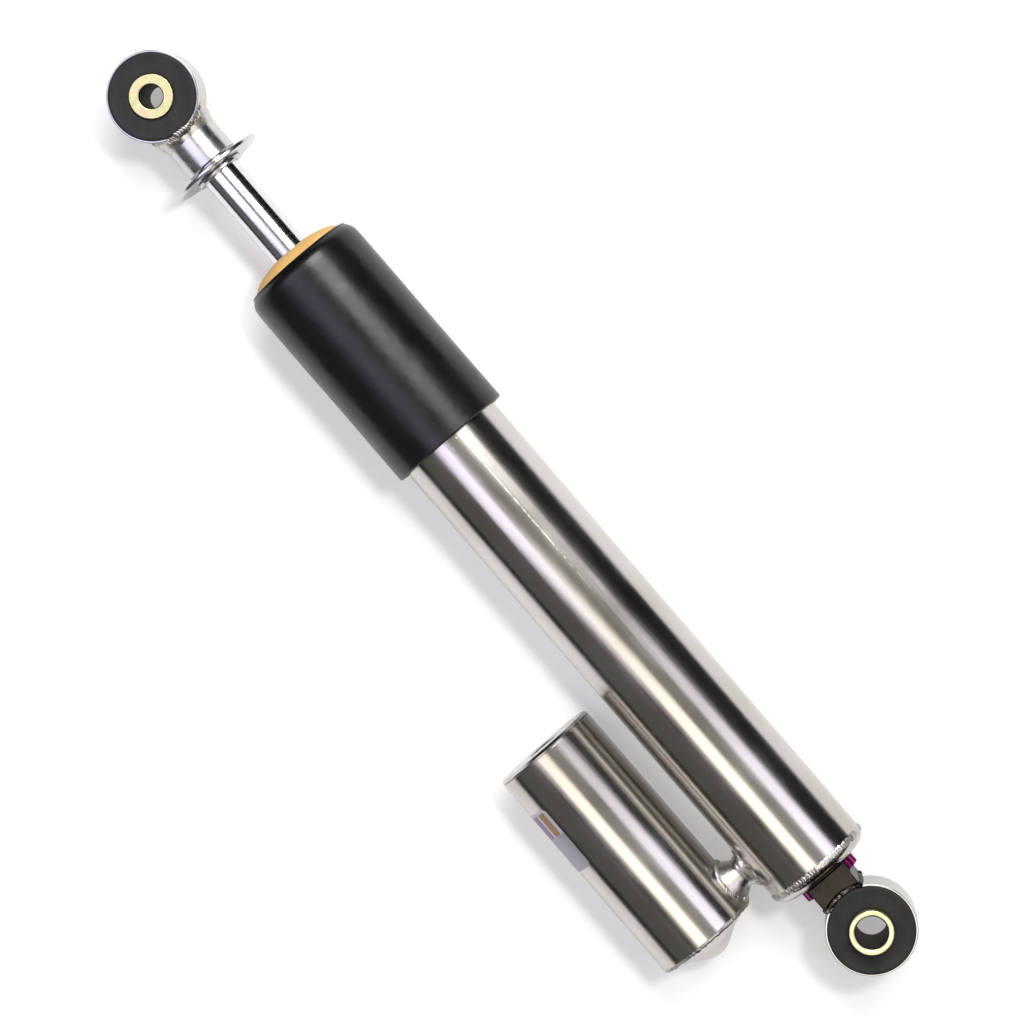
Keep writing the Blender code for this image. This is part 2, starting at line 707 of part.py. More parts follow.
def adjuster(damper, lower_eye):
    """The wheel and needle, the detent behind the wheel, and the slotted block that carries the eye."""
    knurl = math.tau / WHEEL_KNURLS / 2

    def rim(angle):
        return WHEEL_RADIUS - WHEEL_KNURL_DEPTH * (round(angle / knurl) % 2)

    def bore(angle):
        radius = NEEDLE_RADIUS + GAP
        facing = math.cos(angle)
        if facing * radius <= NEEDLE_FLAT + GAP:
            return radius
        return (NEEDLE_FLAT + GAP) / facing

    sides = 2 * WHEEL_KNURLS
    prism("adjuster_wheel", damper, WHEEL_START, WHEEL_THICKNESS, rim, bore, sides, "purple_anodised")

    length = NEEDLE_END - NEEDLE_TIP
    groove = length * 0.5
    groove_end = groove + NEEDLE_GROOVE_WIDTH
    groove_radius = NEEDLE_RADIUS - NEEDLE_GROOVE_DEPTH
    profile = [
        (0, 0),
        (0, NEEDLE_RADIUS * 0.2),
        (NEEDLE_TAPER, NEEDLE_RADIUS * 0.6),
        (NEEDLE_SHOULDER, NEEDLE_RADIUS),
        (groove, NEEDLE_RADIUS),
        (groove, groove_radius),
        (groove_end, groove_radius),
        (groove_end, NEEDLE_RADIUS),
        (length, NEEDLE_RADIUS),
        (length, 0),
    ]
    needle = turned("adjuster_needle", damper, NEEDLE_TIP, profile, FINE, "brass")
    reach = 2 * NEEDLE_RADIUS
    low = (NEEDLE_FLAT, -reach, WHEEL_START - NEEDLE_TRAVEL - BEYOND)
    high = (reach, reach, NEEDLE_END + BEYOND)
    cut(needle, add_piece("needle_flat", box_mesh("needle_flat", low, high), damper, 0, None))
    slack = GAP / 2
    seal_length = NEEDLE_GROOVE_WIDTH - 4 * slack
    seal = ring_profile(seal_length, NEEDLE_BORE - slack, groove_radius + slack)
    turned("needle_seal", damper, NEEDLE_TIP + groove + 2 * slack, seal, FINE, "seal_rubber")

    low = (-HOUSING_HALF_HEIGHT, -HOUSING_HALF_WIDTH, CAP_END + GAP)
    high = (HOUSING_HALF_HEIGHT, HOUSING_HALF_WIDTH, HOUSING_END)
    block_mesh = box_mesh("adjuster_housing", low, high)
    block = add_piece("adjuster_housing", block_mesh, damper, 0, "gunmetal_steel")
    corners = block.modifiers.new("corners", "BEVEL")
    corners.width = HOUSING_CORNER
    corners.segments = 2
    corners.limit_method = "ANGLE"
    slot_half = HOUSING_HALF_HEIGHT - HOUSING_CHEEK
    low = (-slot_half, -2 * HOUSING_HALF_WIDTH, CAP_END - BEYOND)
    high = (slot_half, 2 * HOUSING_HALF_WIDTH, HOUSING_SLOT_END)
    cut(block, add_piece("wheel_slot", box_mesh("wheel_slot", low, high), damper, 0, None))
    saddle_radius = EYE_RADIUS + GAP
    cut(block, cylinder_cutter("lower_eye_saddle", lower_eye, saddle_radius, -CUTTER_REACH, CUTTER_REACH))
    room_end = HOUSING_SLOT_END + NEEDLE_ROOM
    room = cylinder_cutter("needle_room", damper, NEEDLE_BORE, HOUSING_SLOT_END - BEYOND, room_end, FINE)
    cut(block, room)
    detent(damper)


def detent(damper):
    """A sprung ball in the base cap, which clicks against the back of the wheel."""
    steps = FINE // 2
    between = [math.pi * step / steps for step in range(1, steps)]
    ball_profile = [
        (-DETENT_BALL_RADIUS, 0),
        *[(-DETENT_BALL_RADIUS * math.cos(a), DETENT_BALL_RADIUS * math.sin(a)) for a in between],
        (DETENT_BALL_RADIUS, 0),
    ]
    ball_station = WHEEL_START - GAP - DETENT_BALL_RADIUS
    ball = turned("detent_ball", damper, ball_station, ball_profile, FINE, "spring_steel")
    ball.location.x = DETENT_CIRCLE

    start = CAP_END - DETENT_DEPTH + DETENT_WIRE + GAP
    end = ball_station - DETENT_BALL_RADIUS - DETENT_WIRE - GAP
    coil_radius = DETENT_BALL_RADIUS - DETENT_WIRE
    steps_a_turn = 8
    curve = bpy.data.curves.new("detent_spring", "CURVE")
    curve.dimensions = "3D"
    curve.bevel_depth = DETENT_WIRE
    curve.bevel_resolution = 1
    curve.use_fill_caps = True
    spline = curve.splines.new("POLY")
    count = DETENT_TURNS * steps_a_turn
    spline.points.add(count)
    for number, point in enumerate(spline.points):
        angle = math.tau * number / steps_a_turn
        across = (coil_radius * math.cos(angle), coil_radius * math.sin(angle))
        point.co = (*across, (end - start) * number / count, 1)
    spring = add_piece("detent_spring", curve, damper, start, "spring_steel")
    spring.location.x = DETENT_CIRCLE


def bridge_neck(damper, reservoir, bridge):
    """The short waisted pipe that carries oil from the body to the reservoir."""
    span = math.hypot(RESERVOIR_OFFSET, DAMPER_Z - RESERVOIR_Z)
    start = BODY_RADIUS - BRIDGE_OVERLAP
    end = span - RESERVOIR_RADIUS + BRIDGE_OVERLAP
    middle = (start + end) / 2
    waist_half = BRIDGE_WAIST * 0.3
    profile = [
        (start, BRIDGE_BORE),
        (start, BRIDGE_BODY_END),
        (start + BRIDGE_FLARE, BRIDGE_BODY_END * 0.95),
        (middle - waist_half, BRIDGE_WAIST * 1.05),
        (middle, BRIDGE_WAIST),
        (middle + waist_half, BRIDGE_WAIST * 1.1),
        (end - BRIDGE_FLARE, BRIDGE_RESERVOIR_END * 0.97),
        (end, BRIDGE_RESERVOIR_END),
        (end, BRIDGE_BORE),
    ]
    neck = turned("bridge_neck", bridge, 0, profile, MIDDLE, "satin_steel")
    low = BRIDGE_STATION - CUTTER_REACH
    high = BRIDGE_STATION + CUTTER_REACH
    cut(neck, cylinder_cutter("body_saddle", damper, BODY_RADIUS + GAP, low, high))
    cut(neck, cylinder_cutter("reservoir_saddle", reservoir, RESERVOIR_RADIUS + GAP, low, high))


def reservoir_tube(reservoir, bridge):
    length = RESERVOIR_END - RESERVOIR_START
    profile = ring_profile(length, RESERVOIR_RADIUS, RESERVOIR_BORE)
    tube = turned("reservoir_tube", reservoir, RESERVOIR_START, profile, COARSE, "satin_steel")
    span = math.hypot(RESERVOIR_OFFSET, DAMPER_Z - RESERVOIR_Z)
    port_start = span - RESERVOIR_RADIUS - BEYOND
    port_end = span - RESERVOIR_BORE + BRIDGE_BORE
    cut(tube, cylinder_cutter("reservoir_port", bridge, BRIDGE_BORE, port_start, port_end, FINE))


def reservoir_ends(reservoir):
    """The plug with the gas valve at one end, and the domed base beside the bridge at the other."""
    shoulder = RESERVOIR_START - GAP - END_CAP_START
    plug_end = END_CAP_PLUG_END - END_CAP_START
    groove = END_CAP_GROOVE
    groove_radius = RESERVOIR_PLUG - GROOVE_DEPTH
    stem_bore = GAS_VALVE_RADIUS + GAP
    profile = [
        (VALVE_RECESS, stem_bore),
        (VALVE_RECESS, VALVE_RECESS_RADIUS),
        (0, VALVE_RECESS_RADIUS),
        (0, RESERVOIR_RADIUS - END_CAP_CHAMFER),
        (END_CAP_CHAMFER, RESERVOIR_RADIUS),
        (shoulder, RESERVOIR_RADIUS),
        (shoulder, RESERVOIR_PLUG),
        (groove, RESERVOIR_PLUG),
        (groove, groove_radius),
        (groove + GROOVE_WIDTH, groove_radius),
        (groove + GROOVE_WIDTH, RESERVOIR_PLUG),
        (plug_end, RESERVOIR_PLUG),
        (plug_end, stem_bore),
    ]
    turned("reservoir_end_cap", reservoir, END_CAP_START, profile, COARSE, "satin_steel")
    oring = oring_profile(groove_radius + GAP / 2 + ORING_SECTION)
    station = END_CAP_START + groove + GROOVE_WIDTH / 2
    turned("end_cap_oring", reservoir, station, oring, COARSE, "seal_rubber")

    stem_start = END_CAP_START + GAS_VALVE_SETBACK
    stem_length = END_CAP_PLUG_END - stem_start
    profile = [
        (0, 0),
        (0, GAS_VALVE_RADIUS),
        (stem_length + GAP, GAS_VALVE_RADIUS),
        (stem_length + GAP, 2 * GAS_VALVE_RADIUS),
        (stem_length + GAP + GAS_VALVE_HEAD, 2 * GAS_VALVE_RADIUS),
        (stem_length + GAP + GAS_VALVE_HEAD, 0),
    ]
    turned("gas_valve", reservoir, stem_start, profile, FINE, "brass")
    cap_start = END_CAP_START + GAS_VALVE_CAP_SETBACK
    profile = [
        (0, 0),
        (0, GAS_VALVE_CAP_RADIUS - GAS_VALVE_CAP_CHAMFER),
        (GAS_VALVE_CAP_CHAMFER, GAS_VALVE_CAP_RADIUS),
        (GAS_VALVE_CAP_SKIRT, GAS_VALVE_CAP_RADIUS),
        (GAS_VALVE_CAP_SKIRT, stem_bore),
        (GAS_VALVE_CAP_CROWN, stem_bore),
        (GAS_VALVE_CAP_CROWN, 0),
    ]
    turned("gas_valve_cap", reservoir, cap_start, profile, FINE, "black_plastic")

    shoulder = RESERVOIR_END + GAP
    profile = [
        (shoulder - 1.5 * MM, 0),
        (shoulder - 1.5 * MM, 15.0 * MM),
        (shoulder - 4.5 * MM, 18.0 * MM),
        (shoulder - 4.5 * MM, RESERVOIR_PLUG),
        (shoulder, RESERVOIR_PLUG),
        (shoulder, RESERVOIR_RADIUS),
        (shoulder + 1.8 * MM, 20.7 * MM),
        (shoulder + 4.7 * MM, 13.2 * MM),
        *rounded((DOME_END - DOME_TIP, DOME_TIP_RADIUS), (DOME_END, 0), 3),
    ]
    turned("reservoir_base", reservoir, 0, profile, COARSE, "satin_steel")


def floating_piston(reservoir):
    """The free piston that keeps the gas apart from the oil."""
    groove = FLOATING_LENGTH * 0.35
    groove_radius = RESERVOIR_PLUG - GROOVE_DEPTH
    profile = [
        (FLOATING_RECESS, 0),
        (FLOATING_RECESS, FLOATING_RECESS_RADIUS),
        (0, FLOATING_RECESS_RADIUS),
        (0, RESERVOIR_PLUG),
        (groove, RESERVOIR_PLUG),
        (groove, groove_radius),
        (groove + GROOVE_WIDTH, groove_radius),
        (groove + GROOVE_WIDTH, RESERVOIR_PLUG),
        (FLOATING_LENGTH, RESERVOIR_PLUG),
        (FLOATING_LENGTH, 0),
    ]
    turned("floating_piston", reservoir, FLOATING_START, profile, COARSE, "aluminium")
    oring = oring_profile(groove_radius + GAP / 2 + ORING_SECTION)
    station = FLOATING_START + groove + GROOVE_WIDTH / 2
    turned("floating_piston_oring", reservoir, station, oring, COARSE, "seal_rubber")


def label(reservoir):
    """A thin foil label wrapped on the reservoir's outer side. Local -X is up."""
    outer = RESERVOIR_RADIUS + LABEL_STAND_OFF
    inner = outer - LABEL_THICKNESS
    bm = bmesh.new()
    sections = []
    for step in range(LABEL_STEPS + 1):
        angle = LABEL_FIRST + (LABEL_LAST - LABEL_FIRST) * step / LABEL_STEPS
        corners = ((inner, 0), (outer, 0), (outer, LABEL_LENGTH), (inner, LABEL_LENGTH))
        sections.append(
            [bm.verts.new((-r * math.cos(angle), -r * math.sin(angle), z)) for r, z in corners]
        )
    bm.faces.new(sections[0])
    bm.faces.new(sections[-1])
    for section, following in zip(sections, sections[1:]):
        for corner in range(4):
            after = (corner + 1) % 4
            bm.faces.new((section[corner], section[after], following[after], following[corner]))
    add_piece("foil_label", mesh_from("foil_label", bm), reservoir, LABEL_START, "foil")


def build():
    clear_scene()
    along_x = (0, math.pi / 2, 0)
    tilt = math.atan2(DAMPER_Z - RESERVOIR_Z, RESERVOIR_OFFSET)
    damper = axis_empty("damper_axis", (DAMPER_X, DAMPER_Y, DAMPER_Z), along_x)
    reservoir = axis_empty("reservoir_axis", (DAMPER_X, RESERVOIR_Y, RESERVOIR_Z), along_x)
    upper_eye = axis_empty("upper_eye_axis", (DAMPER_X, DAMPER_Y, DAMPER_Z), (0, 0, 0))
    lower_eye = axis_empty("lower_eye_axis", (DAMPER_X + EYE_SPACING, DAMPER_Y, DAMPER_Z), (0, 0, 0))
    bridge_place = (DAMPER_X + BRIDGE_STATION, DAMPER_Y, DAMPER_Z)
    bridge = axis_empty("bridge_axis", bridge_place, (math.pi / 2 + tilt, 0, 0))

    eye("upper", upper_eye, UPPER_SLEEVE_LENGTH, UPPER_BOLT_RADIUS)
    rod_end(damper, upper_eye)
    piston_rod(damper)
    piston_stack(damper)
    bump_stop_and_cover(damper)
    body_tube(damper, bridge)
    rod_guide_and_seals(damper)
    base_valve(damper)
    base_cap(damper, bridge)
    adjuster(damper, lower_eye)
    eye("lower", lower_eye, LOWER_SLEEVE_LENGTH, LOWER_BOLT_RADIUS)
    bridge_neck(damper, reservoir, bridge)
    reservoir_tube(reservoir, bridge)
    reservoir_ends(reservoir)
    floating_piston(reservoir)
    label(reservoir)


build()
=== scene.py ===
import math
import random

import bpy
from mathutils import Matrix, Vector


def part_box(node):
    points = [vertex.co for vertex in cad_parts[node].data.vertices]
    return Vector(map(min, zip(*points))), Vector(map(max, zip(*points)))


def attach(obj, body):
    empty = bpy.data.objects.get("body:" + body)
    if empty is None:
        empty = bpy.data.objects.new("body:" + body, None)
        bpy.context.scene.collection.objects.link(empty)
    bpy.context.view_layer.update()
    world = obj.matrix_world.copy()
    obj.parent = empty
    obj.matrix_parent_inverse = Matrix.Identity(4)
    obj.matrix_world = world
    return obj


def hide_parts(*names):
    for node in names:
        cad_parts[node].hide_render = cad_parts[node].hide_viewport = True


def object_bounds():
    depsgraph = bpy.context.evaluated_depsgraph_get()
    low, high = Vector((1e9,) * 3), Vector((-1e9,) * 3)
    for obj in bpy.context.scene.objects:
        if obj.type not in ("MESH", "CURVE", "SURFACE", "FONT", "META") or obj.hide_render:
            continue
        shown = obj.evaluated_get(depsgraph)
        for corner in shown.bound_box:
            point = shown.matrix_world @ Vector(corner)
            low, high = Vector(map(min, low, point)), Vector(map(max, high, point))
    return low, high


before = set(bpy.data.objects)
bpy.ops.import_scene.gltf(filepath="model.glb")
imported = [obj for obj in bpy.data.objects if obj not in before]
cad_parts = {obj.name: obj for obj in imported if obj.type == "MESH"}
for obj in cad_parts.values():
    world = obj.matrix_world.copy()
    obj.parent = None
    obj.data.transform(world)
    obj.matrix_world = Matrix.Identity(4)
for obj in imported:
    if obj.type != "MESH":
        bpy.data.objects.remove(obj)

MM = 0.001
ALONG = Vector((1, 0, 0))
ACROSS = Vector((0, 1, 0))
UP = Vector((0, 0, 1))

bpy.ops.object.select_all(action="DESELECT")
cad_low, cad_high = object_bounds()


def box(node):
    """A CAD node's lowest corner, highest corner and middle."""
    low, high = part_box(node)
    return low, high, (low + high) / 2


BODY_LOW, BODY_HIGH, BODY_MIDDLE = box("body_tube")
RESERVOIR_LOW, RESERVOIR_HIGH, RESERVOIR_MIDDLE = box("reservoir_tube")
BODY_RADIUS = (BODY_HIGH.z - BODY_LOW.z) / 2
RESERVOIR_RADIUS = (RESERVOIR_HIGH.z - RESERVOIR_LOW.z) / 2
TUBE_WALL = 2.0 * MM
DAMPER = Vector((0, BODY_MIDDLE.y, BODY_MIDDLE.z))
RESERVOIR = Vector((0, RESERVOIR_MIDDLE.y, RESERVOIR_MIDDLE.z))
EYE_LOW, EYE_HIGH, UPPER_EYE = box("upper_eye_ring")
LOWER_EYE = box("lower_eye_ring")[2]
EYE_RADIUS = (EYE_HIGH.x - EYE_LOW.x) / 2
EYE_HALF_WIDTH = (EYE_HIGH.z - EYE_LOW.z) / 2
EYE_BORE = 17.0 * MM
ROD_CLEARANCE_RADIUS = 9.15 * MM
UPPER_BOLT_RADIUS = 5.25 * MM
LOWER_BOLT_RADIUS = 7.25 * MM
SCUFF_ANGLE = math.radians(14.6)


# ---------------------------------------------------------------- materials


def linear(hex_colour):
    """A #RRGGBB sRGB colour as linear RGBA."""
    parts = [int(hex_colour[i : i + 2], 16) / 255 for i in (1, 3, 5)]
    return (*[p / 12.92 if p <= 0.04045 else ((p + 0.055) / 1.055) ** 2.4 for p in parts], 1.0)


def add(tree, kind, inputs=None, **settings):
    """Adds a node. inputs maps a socket's name or number to a value or to the socket that feeds it. A Mix
    node's numbers are 0 for the share, 2 and 3 for two values, 6 and 7 for two colours. A Map Range node's
    are 0 for the value, 1 and 2 for where it runs from and to, 3 and 4 for what that becomes."""
    node = tree.nodes.new(kind)
    for name, value in settings.items():
        setattr(node, name, value)
    for name, value in (inputs or {}).items():
        if isinstance(value, bpy.types.NodeSocket):
            tree.links.new(value, node.inputs[name])
        else:
            node.inputs[name].default_value = value
    return node


def new_material(name, **sockets):
    """A material with its shader's plain sockets set. Returns it, its node tree, shader and coordinates."""
    material = bpy.data.materials.new(name)
    material.use_nodes = True
    tree = material.node_tree
    shader = tree.nodes["Principled BSDF"]
    for socket, value in sockets.items():
        shader.inputs[socket.replace("_", " ")].default_value = value
    where = add(tree, "ShaderNodeTexCoord").outputs["Object"]
    return material, tree, shader, where


def stretched(tree, where, scale, centre=(0, 0, 0)):
    """Object coordinates about a centre, in units of 1 / scale metres."""
    moved = add(tree, "ShaderNodeVectorMath", {0: where, 1: tuple(centre)}, operation="SUBTRACT")
    return add(tree, "ShaderNodeMapping", {"Vector": moved.outputs[0], "Scale": scale}).outputs[0]


def ramp(tree, factor, stops, interpolation="LINEAR"):
    """A colour ramp through (position, colour) stops. A number is a grey."""
    node = add(tree, "ShaderNodeValToRGB", {"Fac": factor})
    node.color_ramp.interpolation = interpolation
    elements = node.color_ramp.elements
    for number, (position, colour) in enumerate(stops):
        element = elements[number] if number < 2 else elements.new(position)
        element.position = position
        element.color = linear(colour) if isinstance(colour, str) else (colour, colour, colour, 1)
    return node.outputs["Color"]


def noise(tree, vector, scale, detail=4.0, roughness=0.55):
    """Noise whose grains are about 1 / scale metres across."""
    inputs = {"Vector": vector, "Scale": scale, "Detail": detail, "Roughness": roughness}
    return add(tree, "ShaderNodeTexNoise", inputs).outputs["Fac"]


def bump(tree, shader, height, distance, strength=1.0, below=None):
    """Adds a bump of a real depth in metres, on top of another bump's normal if one is given."""
    inputs = {"Height": height, "Distance": distance, "Strength": strength}
    if below is not None:
        inputs["Normal"] = below
    normal = add(tree, "ShaderNodeBump", inputs).outputs["Normal"]
    tree.links.new(normal, shader.inputs["Normal"])
    return normal


def drawn_steel_tube(name, axis, scratch_angle=None):
    """Cold-drawn steel tube, polished along its length: soft-edged long reflections, hairline marks about
    1 mm apart that run with the tube, a few pits, and on the body one long scuff."""
    material, tree, shader, where = new_material(name, Metallic=1.0)
    lines = noise(tree, stretched(tree, where, (14, 900, 900), centre=axis), 1.0, 5.0, 0.65)
    cloud = noise(tree, stretched(tree, where, (22, 60, 60), centre=axis), 1.0, 3.0)
    colour = ramp(tree, cloud, [(0.3, "#C2BDB6"), (0.7, "#D2CFCB")])
    smear = add(tree, "ShaderNodeMath", {0: lines, 1: cloud}, operation="MULTIPLY").outputs[0]
    rough = ramp(tree, smear, [(0.1, 0.15), (0.5, 0.27)])
    cells = {"Vector": where, "Scale": 240.0}
    pits = add(tree, "ShaderNodeTexVoronoi", cells, feature="F1").outputs["Distance"]
    rare = noise(tree, where, 55.0, 2.0)
    pit = ramp(tree, pits, [(0.05, 0.0), (0.14, 1.0)])
    gate = ramp(tree, rare, [(0.60, 1.0), (0.68, 0.0)])
    pitted = add(tree, "ShaderNodeMath", {0: pit, 1: gate}, operation="MAXIMUM").outputs[0]
    normal = bump(tree, shader, lines, 0.010 * MM, 0.35)
    normal = bump(tree, shader, pitted, 0.06 * MM, 0.5, normal)
    if scratch_angle is not None:
        rough, colour = scuff(tree, where, axis, scratch_angle, rough, colour)
    tree.links.new(colour, shader.inputs["Base Color"])
    tree.links.new(rough, shader.inputs["Roughness"])
    return material


def scuff(tree, where, axis, angle, rough, colour):
    """A broken bright scuff along the body's rod end at an angle from straight up, 0.8 mm wide. It fades out
    towards the foot."""
    moved = add(tree, "ShaderNodeVectorMath", {0: where, 1: tuple(axis)}, operation="SUBTRACT").outputs[0]
    part = add(tree, "ShaderNodeSeparateXYZ", {0: moved})
    turned_by = add(tree, "ShaderNodeMath", {0: part.outputs["Y"], 1: part.outputs["Z"]}, operation="ARCTAN2")
    off = add(tree, "ShaderNodeMath", {0: turned_by.outputs[0], 1: angle}, operation="SUBTRACT").outputs[0]
    away = add(tree, "ShaderNodeMath", {0: off}, operation="ABSOLUTE").outputs[0]
    half_width = 0.39 * MM / BODY_RADIUS
    line = add(tree, "ShaderNodeMapRange", {0: away, 1: 0.0, 2: half_width, 3: 0.8, 4: 0.0}).outputs[0]
    crumbs = ramp(tree, noise(tree, where, 700.0, 3.0), [(0.42, 0.0), (0.55, 1.0)])
    reach = {0: part.outputs["X"], 1: -0.040, 2: 0.075, 3: 1.0, 4: 0.0}
    fade = add(tree, "ShaderNodeMapRange", reach).outputs[0]
    broken = add(tree, "ShaderNodeMath", {0: line, 1: crumbs}, operation="MULTIPLY").outputs[0]
    mask = add(tree, "ShaderNodeMath", {0: broken, 1: fade}, operation="MULTIPLY", use_clamp=True).outputs[0]
    rough = add(tree, "ShaderNodeMix", {0: mask, 2: rough, 3: 0.6}).outputs[0]
    bright = {0: mask, 6: colour, 7: linear("#F4F2EE")}
    return rough, add(tree, "ShaderNodeMix", bright, data_type="RGBA").outputs[2]


def turned_steel(name, colour, centre, axis="X", rough=0.2):
    """Steel straight from the lathe: bright, with fine rings round its axis that smear reflections."""
    material, tree, shader, where = new_material(name, Metallic=1.0)
    local = stretched(tree, where, (1, 1, 1), centre=centre)
    rings = add(
        tree,
        "ShaderNodeTexWave",
        {"Vector": local, "Scale": 620.0, "Distortion": 0.6, "Detail": 1.0},
        wave_type="BANDS" if axis == "X" else "RINGS",
        bands_direction="X",
        rings_direction="Z",
    ).outputs["Fac"]
    mottle = noise(tree, where, 160.0, 3.0)
    bump(tree, shader, rings, 0.004 * MM, 0.6)
    tree.links.new(ramp(tree, mottle, [(0.3, rough * 0.8), (0.7, rough * 1.3)]), shader.inputs["Roughness"])
    shader.inputs["Base Color"].default_value = linear(colour)
    return material


def hard_chrome():
    """Ground and chromed rod: almost a mirror, a little blue, with the faintest grinding lines round it."""
    material, tree, shader, where = new_material("hard_chrome", Metallic=1.0, Base_Color=linear("#E2E3E6"))
    grinding = noise(tree, stretched(tree, where, (2600, 40, 40)), 1.0, 2.0)
    tree.links.new(ramp(tree, grinding, [(0.3, 0.12), (0.7, 0.18)]), shader.inputs["Roughness"])
    bump(tree, shader, grinding, 0.002 * MM, 0.3)
    return material


def yellow_zinc(name, centre, pale, bore):
    """Yellow-passivated zinc plate on a turned sleeve: pale straw that drifts to green and pink, with tool
    rings on the faces, and painted shade down the bore: its wall is coloured dark brown and made rougher."""
    material, tree, shader, where = new_material(name, Metallic=1.0)
    local = stretched(tree, where, (1, 1, 1), centre=centre)
    rings = add(
        tree,
        "ShaderNodeTexWave",
        {"Vector": local, "Scale": 520.0, "Distortion": 0.4, "Detail": 1.0},
        wave_type="RINGS",
        rings_direction="Z",
    ).outputs["Fac"]
    drift = noise(tree, where, 130.0, 3.0)
    straw = ramp(tree, drift, [(0.3, "#C6CB96"), (0.5, pale), (0.7, "#E0C9A4")])
    flat = add(tree, "ShaderNodeVectorMath", {0: local, 1: (1, 1, 0)}, operation="MULTIPLY").outputs[0]
    radius = add(tree, "ShaderNodeVectorMath", {0: flat}, operation="LENGTH").outputs["Value"]
    # Painted shade: inside the bore the straw colour gives way to dark brown, as if the wall lay in shadow.
    inside = {0: radius, 1: bore + 0.1 * MM, 2: bore + 0.4 * MM, 3: 1.0, 4: 0.0}
    in_bore = add(tree, "ShaderNodeMapRange", inside).outputs[0]
    painted_bore_shade = {0: in_bore, 6: straw, 7: linear("#3E3222")}
    colour = add(tree, "ShaderNodeMix", painted_bore_shade, data_type="RGBA").outputs[2]
    tree.links.new(colour, shader.inputs["Base Color"])
    smoothness = ramp(tree, rings, [(0.2, 0.26), (0.8, 0.40)])
    rough = add(tree, "ShaderNodeMix", {0: in_bore, 2: smoothness, 3: 0.5}).outputs[0]
    tree.links.new(rough, shader.inputs["Roughness"])
    bump(tree, shader, rings, 0.012 * MM, 0.7)
    return material


def bush_rubber():
    """Moulded natural rubber: nearly black, dull, with a fine talc-dusted grain."""
    material, tree, shader, where = new_material("bush_rubber", IOR=1.52, Specular_IOR_Level=0.35)
    grain = noise(tree, where, 900.0, 4.0, 0.7)
    dust = noise(tree, where, 90.0, 4.0, 0.6)
    tree.links.new(ramp(tree, dust, [(0.3, "#19191A"), (0.75, "#262625")]), shader.inputs["Base Color"])
    tree.links.new(ramp(tree, grain, [(0.3, 0.55), (0.7, 0.75)]), shader.inputs["Roughness"])
    bump(tree, shader, grain, 0.05 * MM, 0.5)
    return material


def moulded_black_plastic():
    """Blow-moulded polypropylene cover: black, satin, slightly uneven in its gloss and never quite flat."""
    material, tree, shader, where = new_material("moulded_black_plastic", IOR=1.49)
    shader.inputs["Base Color"].default_value = linear("#0A0A0D")
    waves = noise(tree, stretched(tree, where, (70, 95, 95)), 1.0, 2.0)
    grain = noise(tree, where, 1400.0, 3.0)
    haze = noise(tree, where, 70.0, 4.0, 0.6)
    tree.links.new(ramp(tree, haze, [(0.3, 0.25), (0.7, 0.37)]), shader.inputs["Roughness"])
    normal = bump(tree, shader, waves, 0.4 * MM, 0.5)
    bump(tree, shader, grain, 0.015 * MM, 0.4, normal)
    return material


def cellular_urethane():
    """Microcellular polyurethane bump stop: tan skin with small pores and a slight satin."""
    material, tree, shader, where = new_material("cellular_urethane", IOR=1.5, Specular_IOR_Level=0.4)
    cells = noise(tree, where, 420.0, 5.0, 0.7)
    tone = noise(tree, where, 60.0, 3.0)
    tree.links.new(ramp(tree, tone, [(0.3, "#D6A75A"), (0.7, "#E6BC72")]), shader.inputs["Base Color"])
    tree.links.new(ramp(tree, cells, [(0.3, 0.50), (0.7, 0.66)]), shader.inputs["Roughness"])
    bump(tree, shader, cells, 0.08 * MM, 0.5)
    return material


def purple_anodised():
    """Dyed anodised aluminium: metal seen through a deep magenta film."""
    material, tree, shader, where = new_material("purple_anodised_aluminium", Metallic=1.0)
    film = noise(tree, where, 300.0, 3.0)
    tree.links.new(ramp(tree, film, [(0.3, "#7A1C60"), (0.7, "#9A2F7E")]), shader.inputs["Base Color"])
    tree.links.new(ramp(tree, film, [(0.3, 0.28), (0.7, 0.40)]), shader.inputs["Roughness"])
    bump(tree, shader, film, 0.01 * MM, 0.4)
    return material


def blued_steel():
    """Machined steel with a dark oxide: brown-black, satin, paler in random patches."""
    material, tree, shader, where = new_material("blued_steel", Metallic=1.0)
    patch = noise(tree, where, 110.0, 4.0, 0.6)
    milling = noise(tree, stretched(tree, where, (1500, 60, 60)), 1.0, 3.0)
    tree.links.new(ramp(tree, patch, [(0.3, "#2B2725"), (0.7, "#443E3B")]), shader.inputs["Base Color"])
    tree.links.new(ramp(tree, patch, [(0.3, 0.30), (0.7, 0.44)]), shader.inputs["Roughness"])
    bump(tree, shader, milling, 0.006 * MM, 0.5)
    return material


def weld_metal(name, dark, middle, light):
    """TIG weld bead: lumps with frozen ripples, in a patchy tone that drifts between three colours."""
    material, tree, shader, where = new_material(name, Metallic=1.0)
    heat = noise(tree, where, 260.0, 4.0, 0.6)
    colour = ramp(tree, heat, [(0.34, dark), (0.5, middle), (0.66, light)])
    tree.links.new(colour, shader.inputs["Base Color"])
    tree.links.new(ramp(tree, heat, [(0.3, 0.24), (0.7, 0.40)]), shader.inputs["Roughness"])
    normal = bump(tree, shader, noise(tree, where, 500.0, 2.0), 0.15 * MM, 0.6)
    bump(tree, shader, noise(tree, where, 1600.0, 3.0), 0.03 * MM, 0.6, normal)
    return material


def plain_metal(name, dark, light, rough):
    """An inside piece's metal: even colour with a light machined mottle."""
    material, tree, shader, where = new_material(name, Metallic=1.0)
    mottle = noise(tree, where, 240.0, 3.0)
    tree.links.new(ramp(tree, mottle, [(0.3, dark), (0.7, light)]), shader.inputs["Base Color"])
    tree.links.new(ramp(tree, mottle, [(0.3, rough), (0.7, rough * 1.4)]), shader.inputs["Roughness"])
    return material


